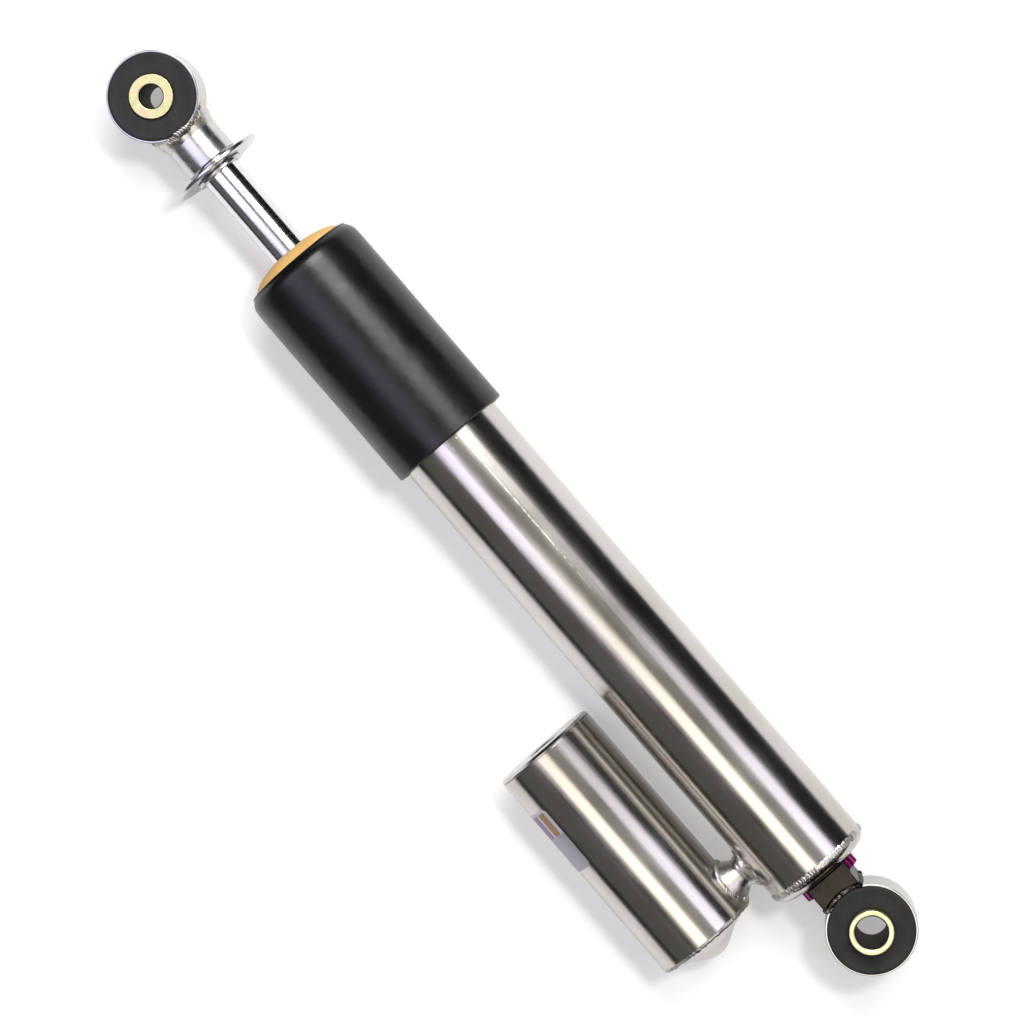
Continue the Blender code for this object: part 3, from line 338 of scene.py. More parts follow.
def plain_polymer(name, dark, light, rough):
    """An inside piece's rubber or plastic: a matte moulded skin."""
    material, tree, shader, where = new_material(name, IOR=1.5)
    mottle = noise(tree, where, 400.0, 3.0)
    tree.links.new(ramp(tree, mottle, [(0.3, dark), (0.7, light)]), shader.inputs["Base Color"])
    tree.links.new(ramp(tree, mottle, [(0.3, rough), (0.7, rough * 1.2)]), shader.inputs["Roughness"])
    return material


def silver_label(start, length, first, last):
    """Silver polyester label: a plain grey panel beside two plain coloured bars, with no writing. It runs
    from start along the reservoir, and from the angle first round to last."""
    material, tree, shader, where = new_material("silver_label", Metallic=0.35, IOR=1.5)
    moved = add(tree, "ShaderNodeVectorMath", {0: where, 1: tuple(RESERVOIR)}, operation="SUBTRACT")
    part = add(tree, "ShaderNodeSeparateXYZ", {0: moved.outputs[0]})
    share = {0: part.outputs["X"], 1: start, 2: start + length, 3: 0.0, 4: 1.0}
    along = add(tree, "ShaderNodeMapRange", share).outputs[0]
    down = add(tree, "ShaderNodeMath", {0: part.outputs["Y"], 1: -1.0}, operation="MULTIPLY").outputs[0]
    lean = add(tree, "ShaderNodeMath", {0: down, 1: part.outputs["Z"]}, operation="ARCTAN2").outputs[0]
    around = add(tree, "ShaderNodeMapRange", {0: lean, 1: first, 2: last, 3: 0.0, 4: 1.0}).outputs[0]
    silver = "#C3C1C8"
    panel_start = 0.42
    stops = [(0.0, silver), (0.07, "#9C7550"), (0.25, silver), (0.31, "#85648F"), (0.60, silver)]
    bars = ramp(tree, around, stops, "CONSTANT")
    has_bars = ramp(tree, along, [(0.0, 0.0), (0.04, 1.0), (panel_start, 0.0)], "CONSTANT")
    panel = ramp(tree, along, [(0.0, silver), (panel_start, "#A2A3AA")], "CONSTANT")
    colour = add(tree, "ShaderNodeMix", {0: has_bars, 6: panel, 7: bars}, data_type="RGBA").outputs[2]
    tree.links.new(colour, shader.inputs["Base Color"])
    grain = noise(tree, where, 500.0, 2.0)
    tree.links.new(ramp(tree, grain, [(0.3, 0.28), (0.7, 0.38)]), shader.inputs["Roughness"])
    return material


# ---------------------------------------------------------------- modelling helpers


def only(piece):
    """Selects one piece and nothing else."""
    bpy.ops.object.select_all(action="DESELECT")
    piece.select_set(True)
    bpy.context.view_layer.objects.active = piece


def edit(piece, selects="VERT"):
    """Opens a piece for editing by its vertices, edges or faces."""
    bpy.context.view_layer.objects.active = piece
    bpy.ops.object.mode_set(mode="EDIT")
    bpy.ops.mesh.select_mode(type=selects)


def leave_edit():
    """Closes the piece that is open for editing."""
    bpy.ops.object.mode_set(mode="OBJECT")


def settle(piece, name):
    """Names a piece and puts its place into its mesh."""
    piece.name = name
    piece.data.name = name
    only(piece)
    bpy.ops.object.transform_apply(location=True, rotation=True, scale=True)
    return piece


def apply(piece, kind, **settings):
    """Adds a modifier, sets it and applies it."""
    only(piece)
    modifier = piece.modifiers.new(kind.lower(), kind)
    for setting, value in settings.items():
        setattr(modifier, setting, value)
    bpy.ops.object.modifier_apply(modifier=modifier.name)


def soften(piece, width, segments=3):
    """Rounds every edge sharper than 35 degrees."""
    sharp = math.radians(35)
    apply(piece, "BEVEL", width=width, segments=segments, limit_method="ANGLE", angle_limit=sharp)


def smooth(piece, angle=40):
    """Smooth shading between faces within an angle. Wide faces keep their own normals next to bevels."""
    only(piece)
    bpy.ops.object.shade_smooth_by_angle(angle=math.radians(angle))
    apply(piece, "WEIGHTED_NORMAL", keep_sharp=True)


def turned(name, centre, axis, outline, steps=96):
    """Turns an outline of (place along the axis, radius) points. One that doesn't start on the axis is closed
    into a ring. The outline is drawn from a single vertex by extruding it, and then spun."""
    side = UP if abs(axis.dot(UP)) < 0.9 else ALONG
    side = (side - axis * side.dot(axis)).normalized()
    spots = [centre + axis * along + side * radius for along, radius in outline]
    if outline[0][1] > 0:
        spots.append(spots[0])
    bpy.ops.mesh.primitive_plane_add(size=MM, location=spots[0])
    piece = settle(bpy.context.object, name)
    edit(piece)
    bpy.ops.mesh.select_all(action="SELECT")
    bpy.ops.mesh.merge(type="CENTER")
    for before, after in zip(spots, spots[1:]):
        bpy.ops.mesh.extrude_region_move(TRANSFORM_OT_translate={"value": after - before})
    bpy.ops.mesh.select_all(action="SELECT")
    bpy.ops.mesh.spin(steps=steps, angle=math.tau, center=centre, axis=axis, use_auto_merge=True)
    bpy.ops.mesh.select_all(action="SELECT")
    bpy.ops.mesh.remove_doubles(threshold=MM / 1000)
    bpy.ops.mesh.normals_make_consistent(inside=False)
    leave_edit()
    return piece


def curved(start, end, steps=6):
    """Outline points on a quarter ellipse that leaves start along the axis and meets end square to it."""
    points = []
    for step in range(steps + 1):
        angle = math.pi / 2 * step / steps
        along = start[0] + (end[0] - start[0]) * math.sin(angle)
        points.append((along, end[1] + (start[1] - end[1]) * math.cos(angle)))
    return points


def eased(points, steps=5):
    """A smooth outline through a few (along, radius) points, as a Catmull-Rom curve."""
    ends = [points[0], *points, points[-1]]
    line = []
    for four in zip(ends, ends[1:], ends[2:], ends[3:]):
        for step in range(steps):
            t = step / steps
            point = []
            for a, b, c, d in zip(*four):
                bend = (2 * a - 5 * b + 4 * c - d) * t * t
                twist = (3 * b - a - 3 * c + d) * t**3
                point.append(0.5 * (2 * b + (c - a) * t + bend + twist))
            line.append(tuple(point))
    return [*line, points[-1]]


def tube_outline(start, end, bore, radius):
    """The outline of a plain tube, washer or ring."""
    return [(start, bore), (start, radius), (end, radius), (end, bore)]


def cut_with(piece, cutter):
    """Takes a cutter's shape out of a piece, and the cutter away."""
    apply(piece, "BOOLEAN", operation="DIFFERENCE", solver="EXACT", object=cutter)
    bpy.data.objects.remove(cutter, do_unlink=True)


def rod_shape(name, centre, axis, start, end, radius, steps=64):
    """A plain round bar."""
    return turned(name, centre, axis, [(start, 0), (start, radius), (end, radius), (end, 0)], steps)


def eye_cutter(centre, clearance):
    """The room that an eye ring takes out of what is welded to it."""
    reach = 30 * MM
    return rod_shape("eye_cutter", centre, UP, -reach, reach, EYE_RADIUS + clearance, 128)


def block_shape(name, low, high):
    """A plain block between two corners."""
    bpy.ops.mesh.primitive_cube_add(size=1, location=(low + high) / 2, scale=high - low)
    return settle(bpy.context.object, name)


def show(piece, body, material, slot, *nodes):
    """Gives a finished piece its material and says what it rides on and stands for."""
    piece.data.materials.clear()
    piece.data.materials.append(material)
    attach(piece, body)
    if nodes:
        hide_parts(*nodes)
    return piece


def weld(name, path, size, body, pitch=0.62, seed=1, metal=None):
    """A TIG bead: one flattened drop, copied along a closed path of (point, outward) pairs so that each lies
    over part of the last. size is (half its length along the path, its width, its height) in metres, and
    pitch is the step from drop to drop as a share of that half length."""
    rng = random.Random(seed)
    bpy.ops.mesh.primitive_uv_sphere_add(segments=14, ring_count=8, radius=1.0, location=(0, 0, 0))
    drop = settle(bpy.context.object, name)
    drops = []
    lengths = [(b[0] - a[0]).length for a, b in zip(path, path[1:] + path[:1])]
    count = max(8, round(sum(lengths) / (size[0] * pitch)))
    least, most = 0.80, 1.20
    for number in range(count):
        goal = sum(lengths) * number / count
        step = 0
        while goal > lengths[step]:
            goal -= lengths[step]
            step += 1
        (here, out), (there, out_there) = path[step], path[(step + 1) % len(path)]
        share = goal / lengths[step]
        point = here.lerp(there, share)
        forward = (there - here).normalized()
        outward = out.lerp(out_there, share).normalized()
        sideways = outward.cross(forward).normalized()
        lean = Matrix.Rotation(math.radians(rng.uniform(18, 30)), 3, sideways)
        forward, outward = lean @ forward, lean @ outward
        grow = rng.uniform(least, most)
        frame_here = Matrix((forward, sideways, outward)).transposed()
        copy = drop.copy()
        copy.data = drop.data.copy()
        scale = Matrix.Diagonal((size[0] * grow, size[1] / 2 * grow, size[2] * grow))
        copy.matrix_world = Matrix.Translation(point) @ (frame_here @ scale).to_4x4()
        bpy.context.collection.objects.link(copy)
        drops.append(copy)
    bpy.data.objects.remove(drop, do_unlink=True)
    bpy.ops.object.select_all(action="DESELECT")
    for copy in drops:
        copy.select_set(True)
    bpy.context.view_layer.objects.active = drops[0]
    bpy.ops.object.join()
    bead = settle(drops[0], name)
    smooth(bead, 180)
    return show(bead, body, metal or WELD, "satin_steel")


def ring_path(x, axis_point, radius, count=96):
    """A circle round a tube."""
    path = []
    for step in range(count):
        angle = math.tau * step / count
        outward = ACROSS * math.cos(angle) + UP * math.sin(angle)
        path.append((Vector((x, axis_point.y, axis_point.z)) + outward * radius, outward))
    return path


# ---------------------------------------------------------------- finishes

BODY_STEEL = drawn_steel_tube("drawn_steel_body", DAMPER, SCUFF_ANGLE)
RESERVOIR_STEEL = drawn_steel_tube("drawn_steel_reservoir", RESERVOIR)
COLLAR_STEEL = turned_steel("turned_steel_collar", "#D0CFCE", DAMPER, rough=0.24)
WASHER_STEEL = turned_steel("faced_steel_washer", "#CFCFD1", DAMPER, rough=0.2)
UPPER_RING_STEEL = turned_steel("polished_steel_upper_ring", "#B4B4B5", UPPER_EYE, "Z", 0.12)
LOWER_RING_STEEL = turned_steel("polished_steel_lower_ring", "#B4B4B5", LOWER_EYE, "Z", 0.12)
UPPER_ZINC = yellow_zinc("yellow_zinc_upper_sleeve", UPPER_EYE, "#DDD9A0", UPPER_BOLT_RADIUS)
LOWER_ZINC = yellow_zinc("yellow_zinc_lower_sleeve", LOWER_EYE, "#F1EEC0", LOWER_BOLT_RADIUS)
CHROME = hard_chrome()
RUBBER = bush_rubber()
COVER_PLASTIC = moulded_black_plastic()
URETHANE = cellular_urethane()
PURPLE = purple_anodised()
BLUED = blued_steel()
WELD = weld_metal("weld_metal", "#A9A5A6", "#CFCDCB", "#D6CDB6")
DARK_WELD = weld_metal("sooted_weld_metal", "#1F1C1B", "#403C39", "#8A857E")
ALUMINIUM = plain_metal("turned_aluminium", "#B9BBBF", "#CDCFD3", 0.28)
SPRING_STEEL = plain_metal("ground_spring_steel", "#85878C", "#9C9EA4", 0.25)
BRASS = plain_metal("turned_brass", "#B8934A", "#D0AC62", 0.25)
NITRILE = plain_polymer("nitrile_rubber", "#1A1A1C", "#242427", 0.5)
PTFE = plain_polymer("bronze_filled_ptfe", "#7A654D", "#8E785E", 0.45)


# ---------------------------------------------------------------- eyes


def eye(end, body, sleeve_body, ring_steel, zinc, bolt_radius):
    """A polished ring, the rubber bush moulded into it with a lip over each face, and the bolt sleeve."""
    ring_low, ring_high, middle = box(f"{end}_eye_ring")
    rubber_high = box(f"{end}_bush_rubber")[1]
    sleeve_low, sleeve_high, _ = box(f"{end}_bush_sleeve")
    centre = Vector((middle.x, middle.y, 0))
    sleeve = (sleeve_high.x - sleeve_low.x) / 2
    lip = rubber_high.x - middle.x

    outline = tube_outline(ring_low.z, ring_high.z, EYE_BORE, EYE_RADIUS)
    ring = turned(f"{end}_eye", centre, UP, outline, 128)
    soften(ring, 0.35 * MM, 3)
    smooth(ring)
    show(ring, body, ring_steel, "polished_steel", f"{end}_eye_ring")

    top = rubber_high.z - middle.z
    face = ring_high.z + 0.15 * MM - middle.z
    half = [
        (face, EYE_BORE - 0.3 * MM),
        (face, lip - 0.2 * MM),
        *curved((top - 0.9 * MM, lip), (top, lip - 1.2 * MM), 5),
        (top, lip - 2.2 * MM),
        (top - 0.25 * MM, lip - 3.0 * MM),
        (top - 0.35 * MM, sleeve + 3.2 * MM),
        (top - 0.1 * MM, sleeve + 1.6 * MM),
        (top - 0.5 * MM, sleeve + 0.3 * MM),
    ]
    outline = [(middle.z + z, r) for z, r in half] + [(middle.z - z, r) for z, r in reversed(half)]
    rubber = turned(f"{end}_rubber_bush", centre, UP, outline, 128)
    smooth(rubber, 50)
    show(rubber, body, RUBBER, "bush_rubber", f"{end}_bush_rubber")

    chamfer = 0.5 * MM
    mouth = bolt_radius + chamfer
    outline = [
        (sleeve_low.z + chamfer, bolt_radius),
        (sleeve_low.z, mouth),
        (sleeve_low.z, sleeve),
        (sleeve_high.z, sleeve),
        (sleeve_high.z, mouth),
        (sleeve_high.z - chamfer, bolt_radius),
    ]
    tube = turned(f"{end}_bolt_sleeve", centre, UP, outline, 96)
    soften(tube, 0.35 * MM, 3)
    smooth(tube)
    show(tube, sleeve_body, zinc, "zinc_steel", f"{end}_bush_sleeve")


def saddle_path(centre, towards, reach, count=72):
    """Where a round collar of radius reach meets an eye ring, as (point, outward) pairs."""
    path = []
    for step in range(count):
        angle = math.tau * step / count
        y, z = reach * math.cos(angle), reach * math.sin(angle)
        z = max(-EYE_HALF_WIDTH, min(EYE_HALF_WIDTH, z))
        x = towards * math.sqrt(EYE_RADIUS**2 - y * y)
        radial = Vector((0, math.cos(angle), math.sin(angle)))
        path.append((centre + Vector((x, y, z)), (radial + ALONG * towards * 0.7).normalized()))
    return path


# ---------------------------------------------------------------- rod side


def rod_end_collar():
    """The turned collar, with the fillet and the bead that weld it to the eye."""
    low, high, _ = box("rod_end_collar")
    radius = (high.z - low.z) / 2
    nose_radius = 10.8 * MM
    saddle_gap = 0.02 * MM
    eye_face = UPPER_EYE.x + EYE_RADIUS
    nose = high.x - 1.1 * MM
    outline = [
        (eye_face - 3.0 * MM, 0),
        (eye_face - 3.0 * MM, radius - 0.5 * MM),
        (eye_face + 3.2 * MM, radius - 0.5 * MM),
        (eye_face + 4.2 * MM, radius),
        (nose - 0.7 * MM, radius),
        (nose, radius - 0.7 * MM),
        (nose, nose_radius),
        (high.x, nose_radius),
        (high.x, 0),
    ]
    collar = turned("turned_collar", DAMPER, ALONG, outline, 96)
    cut_with(collar, eye_cutter(UPPER_EYE, saddle_gap))
    smooth(collar)
    show(collar, "rod", COLLAR_STEEL, "polished_steel", "rod_end_collar")
    outline = [
        (eye_face - 8.0 * MM, 0),
        (eye_face - 8.0 * MM, radius + 1.8 * MM),
        (eye_face - 2.0 * MM, radius + 1.5 * MM),
        (eye_face + 0.2 * MM, radius + 0.8 * MM),
        (eye_face + 2.0 * MM, radius + 0.3 * MM),
        (eye_face + 3.8 * MM, radius - 0.1 * MM),
        (eye_face + 3.8 * MM, 0),
    ]
    fillet = turned("collar_fillet", DAMPER, ALONG, outline, 96)
    cut_with(fillet, eye_cutter(UPPER_EYE, saddle_gap))
    smooth(fillet, 60)
    show(fillet, "rod", WELD, "satin_steel")
    path = saddle_path(UPPER_EYE, 1, radius + 0.6 * MM)
    weld("collar_weld", path, (2.4 * MM, 5.0 * MM, 0.8 * MM), "rod", seed=3)


def bump_washer():
    """The washer that the bump stop strikes, and the ring that keeps it."""
    low, high, _ = box("bump_washer")
    outline = tube_outline(low.x, high.x, ROD_CLEARANCE_RADIUS, (high.z - low.z) / 2)
    washer = turned("struck_washer", DAMPER, ALONG, outline, 128)
    soften(washer, 0.6 * MM, 4)
    smooth(washer)
    show(washer, "rod", WASHER_STEEL, "polished_steel", "bump_washer")

    low, high, _ = box("washer_stop_ring")
    outline = tube_outline(low.x, high.x, ROD_CLEARANCE_RADIUS, (high.z - low.z) / 2)
    ring = turned("washer_keeper", DAMPER, ALONG, outline)
    soften(ring, 0.4 * MM, 3)
    smooth(ring)
    show(ring, "rod", COLLAR_STEEL, "polished_steel", "washer_stop_ring")


def chromed_rod():
    """The rod, stepped down for the collar's thread at one end and for the piston's post at the other."""
    low, high, _ = box("piston_rod")
    radius = (high.z - low.z) / 2
    thread_radius = 7.0 * MM
    post_radius = 6.0 * MM
    gap = 0.3 * MM
    post = box("compression_shims")[0].x - gap
    shoulder = box("rod_end_collar")[1].x + gap
    outline = [
        (low.x, 0),
        (low.x, thread_radius),
        (shoulder, thread_radius),
        (shoulder, radius),
        (post, radius),
        (post, post_radius),
        (high.x, post_radius),
        (high.x, 0),
    ]
    rod = turned("chromed_piston_rod", DAMPER, ALONG, outline, 96)
    smooth(rod)
    show(rod, "rod", CHROME, "chromed_rod", "piston_rod")


CLIP_START = UPPER_EYE.x + 104.3 * MM
CLIP_END = CLIP_START + 2.3 * MM
STOP_HEAD_RADIUS = 25.0 * MM


def bump_stop():
    """The urethane stop: a domed head, a waist that the cover clips into, and a tapered tip."""
    low, high, _ = box("bump_stop")
    waist = 19.5 * MM
    barrel = 21.5 * MM
    gap = 0.3 * MM
    dome = eased(
        [
            (low.x + 0.5 * MM, ROD_CLEARANCE_RADIUS),
            (low.x, ROD_CLEARANCE_RADIUS + 1.2 * MM),
            (low.x + 0.5 * MM, 13.6 * MM),
            (low.x + 2.2 * MM, 19.6 * MM),
            (low.x + 4.6 * MM, 23.4 * MM),
            (low.x + 7.3 * MM, STOP_HEAD_RADIUS),
        ]
    )
    outline = [
        *dome,
        (CLIP_START - gap, STOP_HEAD_RADIUS),
        (CLIP_START - gap, waist),
        (CLIP_END + gap, waist),
        (CLIP_END + gap, barrel),
        (high.x - 7.0 * MM, barrel),
        (high.x, 16.0 * MM),
        (high.x, ROD_CLEARANCE_RADIUS),
    ]
    stop = turned("urethane_bump_stop", DAMPER, ALONG, outline, 96)
    smooth(stop, 50)
    show(stop, "cover", URETHANE, "tan_urethane", "bump_stop")


def dust_cover():
    """The moulded cover: a rolled mouth round the stop's head, a slightly hollow wall, and the clip."""
    low, high, _ = box("dust_cover")
    radius = (high.z - low.z) / 2
    mouth = STOP_HEAD_RADIUS + 0.25 * MM
    inside = radius - 2.3 * MM
    clip_radius = 19.8 * MM
    start, end = low.x, high.x
    outline = [
        (start + 0.4 * MM, mouth),
        (start, mouth + 0.35 * MM),
        (start + 0.1 * MM, mouth + 1.0 * MM),
        *eased(
            [
                (start + 1.1 * MM, radius - 2.35 * MM),
                (start + 2.6 * MM, radius - 1.2 * MM),
                (start + 4.8 * MM, radius - 0.35 * MM),
                (start + 7.6 * MM, radius - 0.05 * MM),
            ],
            3,
        ),
        (start + 30 * MM, radius),
        (start + 60 * MM, radius - 0.12 * MM),
        (end - 12 * MM, radius - 0.05 * MM),
        (end - 0.5 * MM, radius),
        (end, radius - 0.5 * MM),
        (end, inside + 0.4 * MM),
        (end - 1.0 * MM, inside),
        (CLIP_END, inside),
        (CLIP_END, clip_radius),
        (CLIP_START, clip_radius),
        (CLIP_START, mouth),
    ]
    cover = turned("moulded_dust_cover", DAMPER, ALONG, outline, 160)
    smooth(cover)
    show(cover, "cover", COVER_PLASTIC, "black_plastic", "dust_cover")


# ---------------------------------------------------------------- body and foot


PLUG_GAP = 0.35 * MM
NEEDLE_BORE = 3.3 * MM


def body():
    """The body tube, the rounded cap in its foot, and the weld round the joint."""
    low, high = BODY_LOW, BODY_HIGH
    bore = BODY_RADIUS - TUBE_WALL
    outline = tube_outline(low.x, high.x, bore, BODY_RADIUS)
    tube = turned("drawn_body_tube", DAMPER, ALONG, outline, 192)
    soften(tube, 0.4 * MM, 3)
    smooth(tube)
    show(tube, "damper_body", BODY_STEEL, "satin_steel", "body_tube")

    foot = box("base_cap")[1].x
    face_radius = 17.0 * MM
    plug_start = high.x - 6 * MM
    shoulder = high.x + 0.2 * MM
    needle_depth = 3 * MM
    outline = [
        (plug_start, 0),
        (plug_start, bore - PLUG_GAP),
        (shoulder, bore - PLUG_GAP),
        *curved((shoulder, BODY_RADIUS - 0.05 * MM), (foot, face_radius), 10),
        (foot, NEEDLE_BORE),
        (foot - needle_depth, NEEDLE_BORE),
        (foot - needle_depth, 0),
    ]
    cap = turned("rounded_base_cap", DAMPER, ALONG, outline, 160)
    smooth(cap)
    show(cap, "damper_body", BODY_STEEL, "satin_steel", "base_cap")
    path = ring_path(high.x + 0.1 * MM, DAMPER, BODY_RADIUS - 0.5 * MM)
    weld("foot_weld", path, (1.6 * MM, 3.6 * MM, 0.55 * MM), "damper_body", pitch=0.5, seed=5)


THROAT_INSET = Vector((0, 0.8 * MM, 0.6 * MM))


def adjuster_block():
    """The slotted block, stopped short of the eye, and the throat of weld metal that fills the gap."""
    low, high, _ = box("adjuster_housing")
    wheel_end = box("adjuster_wheel")[1].x
    cheek = 1.6 * MM
    beyond = 5 * MM
    short_of_eye = 2.1 * MM
    needle_room = 3.8 * MM
    block = block_shape("slotted_housing", low, high + ALONG * 3.2 * MM)
    soften(block, 0.7 * MM, 3)
    slot_low = Vector((low.x - 2 * MM, low.y - beyond, low.z + cheek))
    slot_high = Vector((wheel_end + 0.4 * MM, high.y + beyond, high.z - cheek))
    cut_with(block, block_shape("slot_cutter", slot_low, slot_high))
    cut_with(block, eye_cutter(LOWER_EYE, short_of_eye))
    start, end = slot_high.x - MM, slot_high.x + needle_room
    cut_with(block, rod_shape("needle_cutter", DAMPER, ALONG, start, end, NEEDLE_BORE, 32))
    smooth(block)
    show(block, "damper_body", BLUED, "gunmetal_steel", "adjuster_housing")

    throat_low = Vector((high.x - 4.0 * MM, low.y, LOWER_EYE.z - EYE_HALF_WIDTH)) + THROAT_INSET
    throat_high = Vector((high.x + 2.4 * MM, high.y, LOWER_EYE.z + EYE_HALF_WIDTH)) - THROAT_INSET
    throat = block_shape("housing_weld_throat", throat_low, throat_high)
    cut_with(throat, eye_cutter(LOWER_EYE, 0.05 * MM))
    smooth(throat)
    show(throat, "damper_body", DARK_WELD, "gunmetal_steel")


def square_path(half_y, half_z, steps=24):
    """Round the end of a block, where it meets the lower eye's ring, as (point, outward) pairs. Each side
    leans back towards the block, the upper and lower ones more."""
    off_ring = 1.0 * MM
    corners = [(-half_y, half_z), (half_y, half_z), (half_y, -half_z), (-half_y, -half_z)]
    leans = [UP - ALONG * 0.5, ACROSS - ALONG * 0.3, -UP - ALONG * 0.5, -ACROSS - ALONG * 0.3]
    path = []
    for (y0, z0), (y1, z1), lean in zip(corners, corners[1:] + corners[:1], leans):
        for step in range(steps):
            y = y0 + (y1 - y0) * step / steps
            z = z0 + (z1 - z0) * step / steps
            back = math.sqrt(EYE_RADIUS**2 - y**2) + off_ring
            path.append((LOWER_EYE + Vector((-back, y, z)), lean.normalized()))
    return path


def housing_weld():
    """The rough bead round the throat."""
    low, high, _ = box("adjuster_housing")
    half_y = (high.y - low.y) / 2 - THROAT_INSET.y
    path = square_path(half_y, EYE_HALF_WIDTH - THROAT_INSET.z)
    weld("housing_weld", path, (2.3 * MM, 4.6 * MM, 1.0 * MM), "damper_body", seed=7, metal=DARK_WELD)


def adjuster_wheel():
    """The wheel: a disc with square grooves sunk into its rim."""
    low, high, middle = box("adjuster_wheel")
    teeth, sides = 20, 4
    groove_depth = 0.9 * MM
    bore = 2.9 * MM
    bpy.ops.mesh.primitive_cylinder_add(
        vertices=teeth * sides,
        radius=(high.z - low.z) / 2,
        depth=high.x - low.x,
        location=(middle.x, DAMPER.y, DAMPER.z),
        rotation=(0, math.pi / 2, 0),
    )
    wheel = settle(bpy.context.object, "knurled_wheel")
    edit(wheel, "FACE")
    bpy.ops.mesh.select_all(action="DESELECT")
    leave_edit()
    for face in wheel.data.polygons:
        if abs(face.normal.x) < 0.5:
            angle = math.atan2(face.normal.y, face.normal.z) % math.tau
            face.select = int(angle / math.tau * teeth * sides) % sides < sides / 2
    edit(wheel, "FACE")
    bpy.ops.mesh.extrude_region_shrink_fatten(TRANSFORM_OT_shrink_fatten={"value": -groove_depth})
    leave_edit()
    soften(wheel, 0.22 * MM, 2)
    cut_with(wheel, rod_shape("bore_cutter", DAMPER, ALONG, low.x - MM, high.x + MM, bore, 32))
    smooth(wheel, 30)
    show(wheel, "adjuster", PURPLE, "purple_anodised_aluminium", "adjuster_wheel")


# ---------------------------------------------------------------- reservoir and bridge


RESERVOIR_BORE = RESERVOIR_RADIUS - TUBE_WALL
RESERVOIR_PLUG = RESERVOIR_BORE - PLUG_GAP


def reservoir_tube():
    """A second, shorter length of the same kind of tube."""
    outline = tube_outline(RESERVOIR_LOW.x, RESERVOIR_HIGH.x, RESERVOIR_BORE, RESERVOIR_RADIUS)
    tube = turned("drawn_reservoir_tube", RESERVOIR, ALONG, outline, 192)
    soften(tube, 0.25 * MM, 3)
    smooth(tube)
    show(tube, "damper_body", RESERVOIR_STEEL, "satin_steel", "reservoir_tube")


def reservoir_end_cap():
    """The bevelled cap with a recess for the gas valve, and the valve's dust cap."""
    start, end, _ = box("reservoir_end_cap")
    valve_bore = 3.3 * MM
    recess = 9.0 * MM
    recess_floor = start.x + 8.0 * MM
    rim = RESERVOIR_RADIUS - 0.03 * MM
    bevel = 1.2 * MM
    seam = RESERVOIR_LOW.x - 0.25 * MM
    outline = [
        (recess_floor, valve_bore),
        (recess_floor, recess),
        (start.x + 0.4 * MM, recess),
        (start.x, recess + 0.4 * MM),
        (start.x, RESERVOIR_RADIUS - bevel),
        (start.x + bevel, rim),
        (seam, rim),
        (seam, RESERVOIR_PLUG),
        (end.x, RESERVOIR_PLUG),
        (end.x, valve_bore),
    ]
    cap = turned("bevelled_end_cap", RESERVOIR, ALONG, outline, 160)
    smooth(cap, 30)
    show(cap, "damper_body", RESERVOIR_STEEL, "satin_steel", "reservoir_end_cap")

    start, end, _ = box("gas_valve_cap")
    radius = (end.z - start.z) / 2
    stem_room = 3.25 * MM
    ceiling = start.x + 1.1 * MM
    outline = [
        (start.x, 0),
        (start.x, radius - 0.9 * MM),
        (start.x + 0.5 * MM, radius - 0.3 * MM),
        (start.x + 1.2 * MM, radius - 0.1 * MM),
        (end.x, radius - 0.1 * MM),
        (end.x, stem_room),
        (ceiling, stem_room),
        (ceiling, 0),
    ]
    valve_cap = turned("valve_dust_cap", RESERVOIR, ALONG, outline, 48)
    smooth(valve_cap)
    show(valve_cap, "damper_body", COVER_PLASTIC, "black_plastic", "gas_valve_cap")


def reservoir_base():
    """The spun base: a shallow cone that runs out into a blunt tip, welded round its rim."""
    tip = box("reservoir_base")[1].x
    shoulder = RESERVOIR_HIGH.x + 0.1 * MM
    plug_start = shoulder - 4 * MM
    outline = [
        (plug_start, 0),
        (plug_start, RESERVOIR_PLUG),
        (shoulder, RESERVOIR_PLUG),
        *eased(
            [
                (shoulder, RESERVOIR_RADIUS - 0.1 * MM),
                (shoulder + 1.1 * MM, 23.0 * MM),
                (shoulder + 2.2 * MM, 20.4 * MM),
                (shoulder + 3.6 * MM, 16.4 * MM),
                (shoulder + 5.2 * MM, 12.4 * MM),
                (shoulder + 7.6 * MM, 8.6 * MM),
                (tip - 1.2 * MM, 5.0 * MM),
                (tip - 0.25 * MM, 2.2 * MM),
                (tip, 0),
            ]
        ),
    ]
    base = turned("domed_reservoir_base", RESERVOIR, ALONG, outline, 160)
    smooth(base, 60)
    show(base, "damper_body", RESERVOIR_STEEL, "satin_steel", "reservoir_base")
    path = ring_path(shoulder + 0.1 * MM, RESERVOIR, RESERVOIR_RADIUS - 0.9 * MM)
    weld("reservoir_weld", path, (1.4 * MM, 3.0 * MM, 0.5 * MM), "damper_body", pitch=0.5, seed=9)


NECK_SPAN = (RESERVOIR - DAMPER).length
NECK_AXIS = (RESERVOIR - DAMPER).normalized()
NECK_ROOT = Vector((box("bridge_neck")[2].x, DAMPER.y, DAMPER.z))


def neck_path(from_body, radius, reach, count=72):
    """Where a pipe of radius reach meets the body or the reservoir, as (point, outward) pairs."""
    sideways = ALONG.cross(NECK_AXIS).normalized()
    path = []
    for step in range(count):
        angle = math.tau * step / count
        x, w = reach * math.cos(angle), reach * math.sin(angle)
        depth = math.sqrt(radius**2 - w * w)
        out = ALONG * math.cos(angle) + sideways * math.sin(angle)
        spot = NECK_ROOT + ALONG * x + sideways * w
        if from_body:
            path.append((spot + NECK_AXIS * depth, (NECK_AXIS + out * 0.8).normalized()))
        else:
            path.append((spot + NECK_AXIS * (NECK_SPAN - depth), (-NECK_AXIS + out * 0.8).normalized()))
    return path


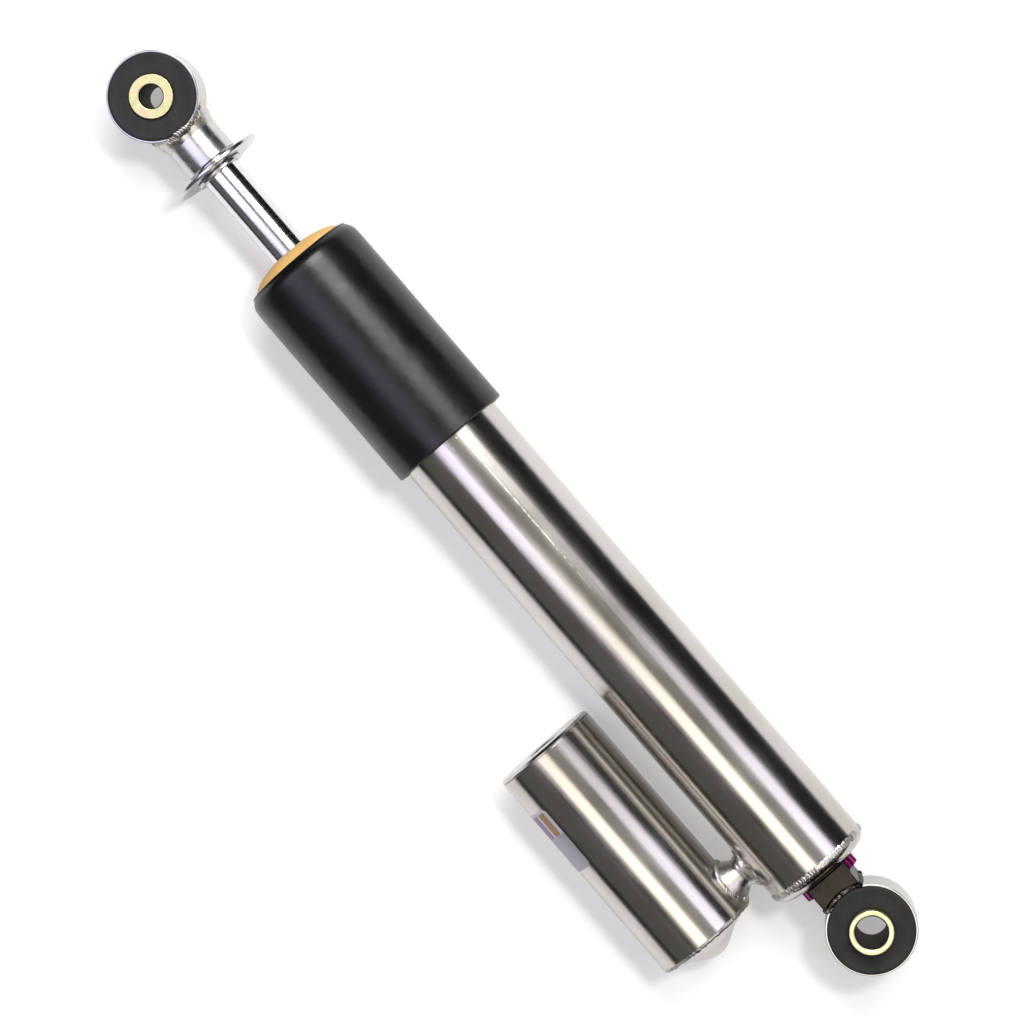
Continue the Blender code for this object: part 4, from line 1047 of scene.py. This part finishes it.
def bridge():
    """The waisted pipe between the tubes, flared most towards the foot, with a weld round each end."""
    sunk = 1.2 * MM
    bore = 4.5 * MM
    start = BODY_RADIUS - sunk
    end = NECK_SPAN - RESERVOIR_RADIUS + sunk
    waist = (start + end) / 2 - 0.4 * MM
    outline = [
        (start, bore),
        *eased(
            [
                (start, 10.2 * MM),
                (start + 1.6 * MM, 9.3 * MM),
                (waist - 2.0 * MM, 7.8 * MM),
                (waist, 7.4 * MM),
                (waist + 2.2 * MM, 8.6 * MM),
                (end - 1.4 * MM, 10.3 * MM),
                (end, 11.2 * MM),
            ]
        ),
        (end, bore),
    ]
    neck = turned("waisted_neck", NECK_ROOT, NECK_AXIS, outline, 96)
    for vertex in neck.data.vertices:
        off = vertex.co - NECK_ROOT
        flare = max(0.0, (off.dot(NECK_AXIS) - waist) / (end - waist))
        if off.x > 0:
            vertex.co.x += 0.15 * flare**2 * off.x
    smooth(neck, 60)
    show(neck, "damper_body", WELD, "satin_steel", "bridge_neck")
    bead = (2.2 * MM, 3.4 * MM, 0.5 * MM)
    path = neck_path(True, BODY_RADIUS, 9.2 * MM)
    weld("body_neck_weld", path, bead, "damper_body", pitch=0.45, seed=11)
    path = neck_path(False, RESERVOIR_RADIUS, 10.2 * MM)
    weld("reservoir_neck_weld", path, bead, "damper_body", pitch=0.45, seed=13)


def face_outwards(piece):
    """Turns every face of a piece the same way, and outwards where it is closed."""
    edit(piece)
    bpy.ops.mesh.select_all(action="SELECT")
    bpy.ops.mesh.normals_make_consistent(inside=False)
    leave_edit()


def label():
    """A thin label with round corners, wrapped on the reservoir."""
    low, high, middle = box("foil_label")
    radius = RESERVOIR_RADIUS + 0.06 * MM
    thickness = 0.12 * MM
    first = math.atan2(RESERVOIR.y - high.y, high.z - RESERVOIR.z)
    last = math.radians(100)
    wide = (last - first) * radius
    strips = 24
    corner = 2.6 * MM
    bpy.ops.mesh.primitive_plane_add(size=1, location=(0, 0, 0))
    bpy.context.object.scale = (high.x - low.x, wide, 1)
    sheet = settle(bpy.context.object, "silver_foil_label")
    edit(sheet)
    bpy.ops.mesh.select_all(action="SELECT")
    bpy.ops.mesh.bevel(offset=corner, segments=5, affect="VERTICES")
    for cut in range(1, strips):
        bpy.ops.mesh.select_all(action="SELECT")
        bpy.ops.mesh.bisect(plane_co=(0, wide * (cut / strips - 0.5), 0), plane_no=(0, 1, 0))
    leave_edit()
    for vertex in sheet.data.vertices:
        angle = first + (last - first) * (vertex.co.y / wide + 0.5)
        vertex.co = (
            middle.x + vertex.co.x,
            RESERVOIR.y - radius * math.sin(angle),
            RESERVOIR.z + radius * math.cos(angle),
        )
    face_outwards(sheet)
    outward = sheet.data.polygons[0].normal.dot(sheet.data.polygons[0].center - RESERVOIR)
    apply(sheet, "SOLIDIFY", thickness=thickness, offset=1.0 if outward > 0 else -1.0)
    face_outwards(sheet)
    smooth(sheet)
    foil = silver_label(low.x, high.x - low.x, first, last)
    show(sheet, "damper_body", foil, "label_foil", "foil_label")


def inside_pieces():
    """The pieces that only an opened damper shows keep their CAD shape and get their metal or rubber."""
    finishes = {
        ALUMINIUM: ["piston", "gland_cap", "rod_guide", "base_valve_disc", "floating_piston"],
        SPRING_STEEL: [
            "compression_shims",
            "rebound_shims",
            "piston_nut",
            "guide_circlip",
            "base_valve_bolt",
            "base_valve_shims",
            "detent_ball",
            "detent_spring",
        ],
        BRASS: ["adjuster_needle", "gas_valve"],
        NITRILE: [
            "top_out_bumper",
            "wiper_seal",
            "rod_seal",
            "guide_oring",
            "needle_seal",
            "end_cap_oring",
            "floating_piston_oring",
        ],
        PTFE: ["piston_band", "guide_bush"],
    }
    for material, names in finishes.items():
        for name in names:
            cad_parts[name].material_slots[0].material = material


# ---------------------------------------------------------------- studio


def from_vertical(degrees):
    """The direction at an angle from straight up, leaning to +Y."""
    angle = math.radians(degrees)
    return Vector((0, math.sin(angle), math.cos(angle)))


def strip_light(name, leans, brightness, colour, low_x, high_x, reach=2.0):
    """A softbox parallel to the damper that fills the leans (degrees from straight up, to +Y) about it."""
    first, last = leans
    middle = from_vertical((first + last) / 2)
    light = bpy.data.lights.new(name, "AREA")
    light.shape = "RECTANGLE"
    light.size = high_x - low_x
    light.size_y = 2 * reach * math.tan(math.radians((last - first) / 2))
    light.energy = brightness * math.pi * light.size * light.size_y
    light.color = linear(colour)[:3]
    lamp = bpy.data.objects.new(name, light)
    lamp.location = DAMPER + middle * reach + ALONG * (low_x + high_x) / 2
    facing = Matrix((ALONG, middle.cross(ALONG), middle)).transposed()
    lamp.rotation_euler = facing.to_euler()
    lamp.visible_camera = False
    bpy.context.collection.objects.link(lamp)


def overhead_lamp():
    """A round lamp over the damper that throws soft shadows down and out. Shiny metal doesn't show it."""
    reach = 2.2
    light = bpy.data.lights.new("overhead_lamp", "AREA")
    light.shape = "DISK"
    light.size = 0.28
    brightness = 1.3
    light.energy = brightness * math.pi * reach**2
    lamp = bpy.data.objects.new("overhead_lamp", light)
    direction = from_vertical(23)
    lamp.location = DAMPER + direction * reach + ALONG * 0.03
    lamp.rotation_euler = direction.to_track_quat("Z", "Y").to_euler()
    lamp.visible_glossy = False
    lamp.visible_camera = False
    bpy.context.collection.objects.link(lamp)


def softboxes():
    """One row of softboxes for each of the two long bands of light on the tubes, as bright and as wide in
    each part as the bands are there, and two weak ones, straight above and low on the reservoir's side."""
    far_end = 1.6
    strip_light("key_far_left", (18, 47), 10.0, "#FAFAF6", -far_end, -0.24)
    strip_light("key_over_cover", (20, 47), 3.2, "#FAFAF6", -0.24, -0.11)
    strip_light("key_left", (27, 46), 0.9, "#F4F2FF", -0.11, 0.02)
    strip_light("key_middle", (25, 46), 0.22, "#F2F2F2", 0.02, 0.20)
    strip_light("key_right", (28, 50), 1.35, "#F4F0FF", 0.20, 0.34)
    strip_light("key_far_right", (27, 53), 2.2, "#F4F0FF", 0.34, far_end)
    strip_light("top_over_rod", (-42, 0), 2.0, "#E8E2FF", -far_end, -0.34)
    strip_light("top_over_cover", (-30, -10), 1.7, "#DDD2FF", -0.34, -0.10)
    strip_light("top_left", (-37, -12), 2.5, "#F0ECFF", -0.10, 0.06)
    strip_light("top_middle", (-30, -5), 1.5, "#FAF6F4", 0.06, 0.18)
    strip_light("top_right", (-22, 1), 2.3, "#FFFAEC", 0.18, far_end)
    strip_light("bridge_softbox", (-10, 22), 0.25, "#FFFCF4", -far_end, far_end, 2.1)
    strip_light("fill_softbox", (-80, -36), 0.13, "#F2EFEA", -far_end, far_end)


def surroundings():
    """A room that is nearly dark to the metal and white to the eye."""
    world = bpy.data.worlds.new("dim_studio")
    bpy.context.scene.world = world
    world.use_nodes = True
    tree = world.node_tree
    tree.nodes.clear()
    seen = add(tree, "ShaderNodeLightPath").outputs["Is Camera Ray"]
    white = linear("#FFFFFF")
    dim = add(tree, "ShaderNodeBackground", {"Color": white, "Strength": 0.006}).outputs[0]
    pale = add(tree, "ShaderNodeBackground", {"Color": white, "Strength": 1.0}).outputs[0]
    mixed = add(tree, "ShaderNodeMixShader", {0: seen, 1: dim, 2: pale}).outputs[0]
    add(tree, "ShaderNodeOutputWorld", {"Surface": mixed})


def paper():
    """The sheet of white paper that the damper lies on. It ends not far past the damper on the +Y side, so
    that the flank there reflects the dark room above a narrow strip of paper."""
    middle_of_paper = (0, -0.21, cad_low.z - 0.05 * MM)
    bpy.ops.mesh.primitive_plane_add(size=0.98, location=middle_of_paper)
    floor = settle(bpy.context.object, "white_paper")
    material, tree, shader, _ = new_material("white_paper", Roughness=0.9, Specular_IOR_Level=0.1)
    shader.inputs["Base Color"].default_value = linear("#D3D3D3")
    shader.inputs["Emission Color"].default_value = (1, 1, 1, 1)
    direct = add(tree, "ShaderNodeLightPath").outputs["Is Camera Ray"]
    glow = {0: direct, 1: 0.0, 2: 1.0, 3: 0.145, 4: 0.36}
    tree.links.new(add(tree, "ShaderNodeMapRange", glow).outputs[0], shader.inputs["Emission Strength"])
    floor.data.materials.append(material)


def camera():
    """Straight above the damper, leaning 6 degrees to +Y, and turned so that the damper lies aslant."""
    distance = 1.85
    lean = math.radians(6.0)
    turn = math.radians(49.2)
    width = 453.1 * MM
    back = Vector((0, math.sin(lean), math.cos(lean)))
    side = Vector((0, math.cos(lean), -math.sin(lean)))
    right = ALONG * math.cos(turn) + side * math.sin(turn)
    top = side * math.cos(turn) - ALONG * math.sin(turn)
    data = bpy.data.cameras.new("camera")
    data.sensor_width = 36
    data.lens = data.sensor_width * distance / width
    data.clip_start = 0.1
    data.clip_end = 20
    item = bpy.data.objects.new("camera", data)
    aim = DAMPER - side * 0.85 * MM - ALONG * 0.44 * MM
    facing = Matrix((right, top, back)).transposed().to_4x4()
    item.matrix_world = Matrix.Translation(aim + back * distance) @ facing
    bpy.context.collection.objects.link(item)
    bpy.context.scene.camera = item
    bpy.context.scene.view_settings.view_transform = "Standard"


camera()
softboxes()
overhead_lamp()
surroundings()
paper()
eye("upper", "rod", "upper_sleeve", UPPER_RING_STEEL, UPPER_ZINC, UPPER_BOLT_RADIUS)
eye("lower", "damper_body", "lower_sleeve", LOWER_RING_STEEL, LOWER_ZINC, LOWER_BOLT_RADIUS)
rod_end_collar()
bump_washer()
chromed_rod()
bump_stop()
dust_cover()
body()
adjuster_block()
adjuster_wheel()
housing_weld()
reservoir_tube()
reservoir_end_cap()
reservoir_base()
bridge()
label()
inside_pieces()
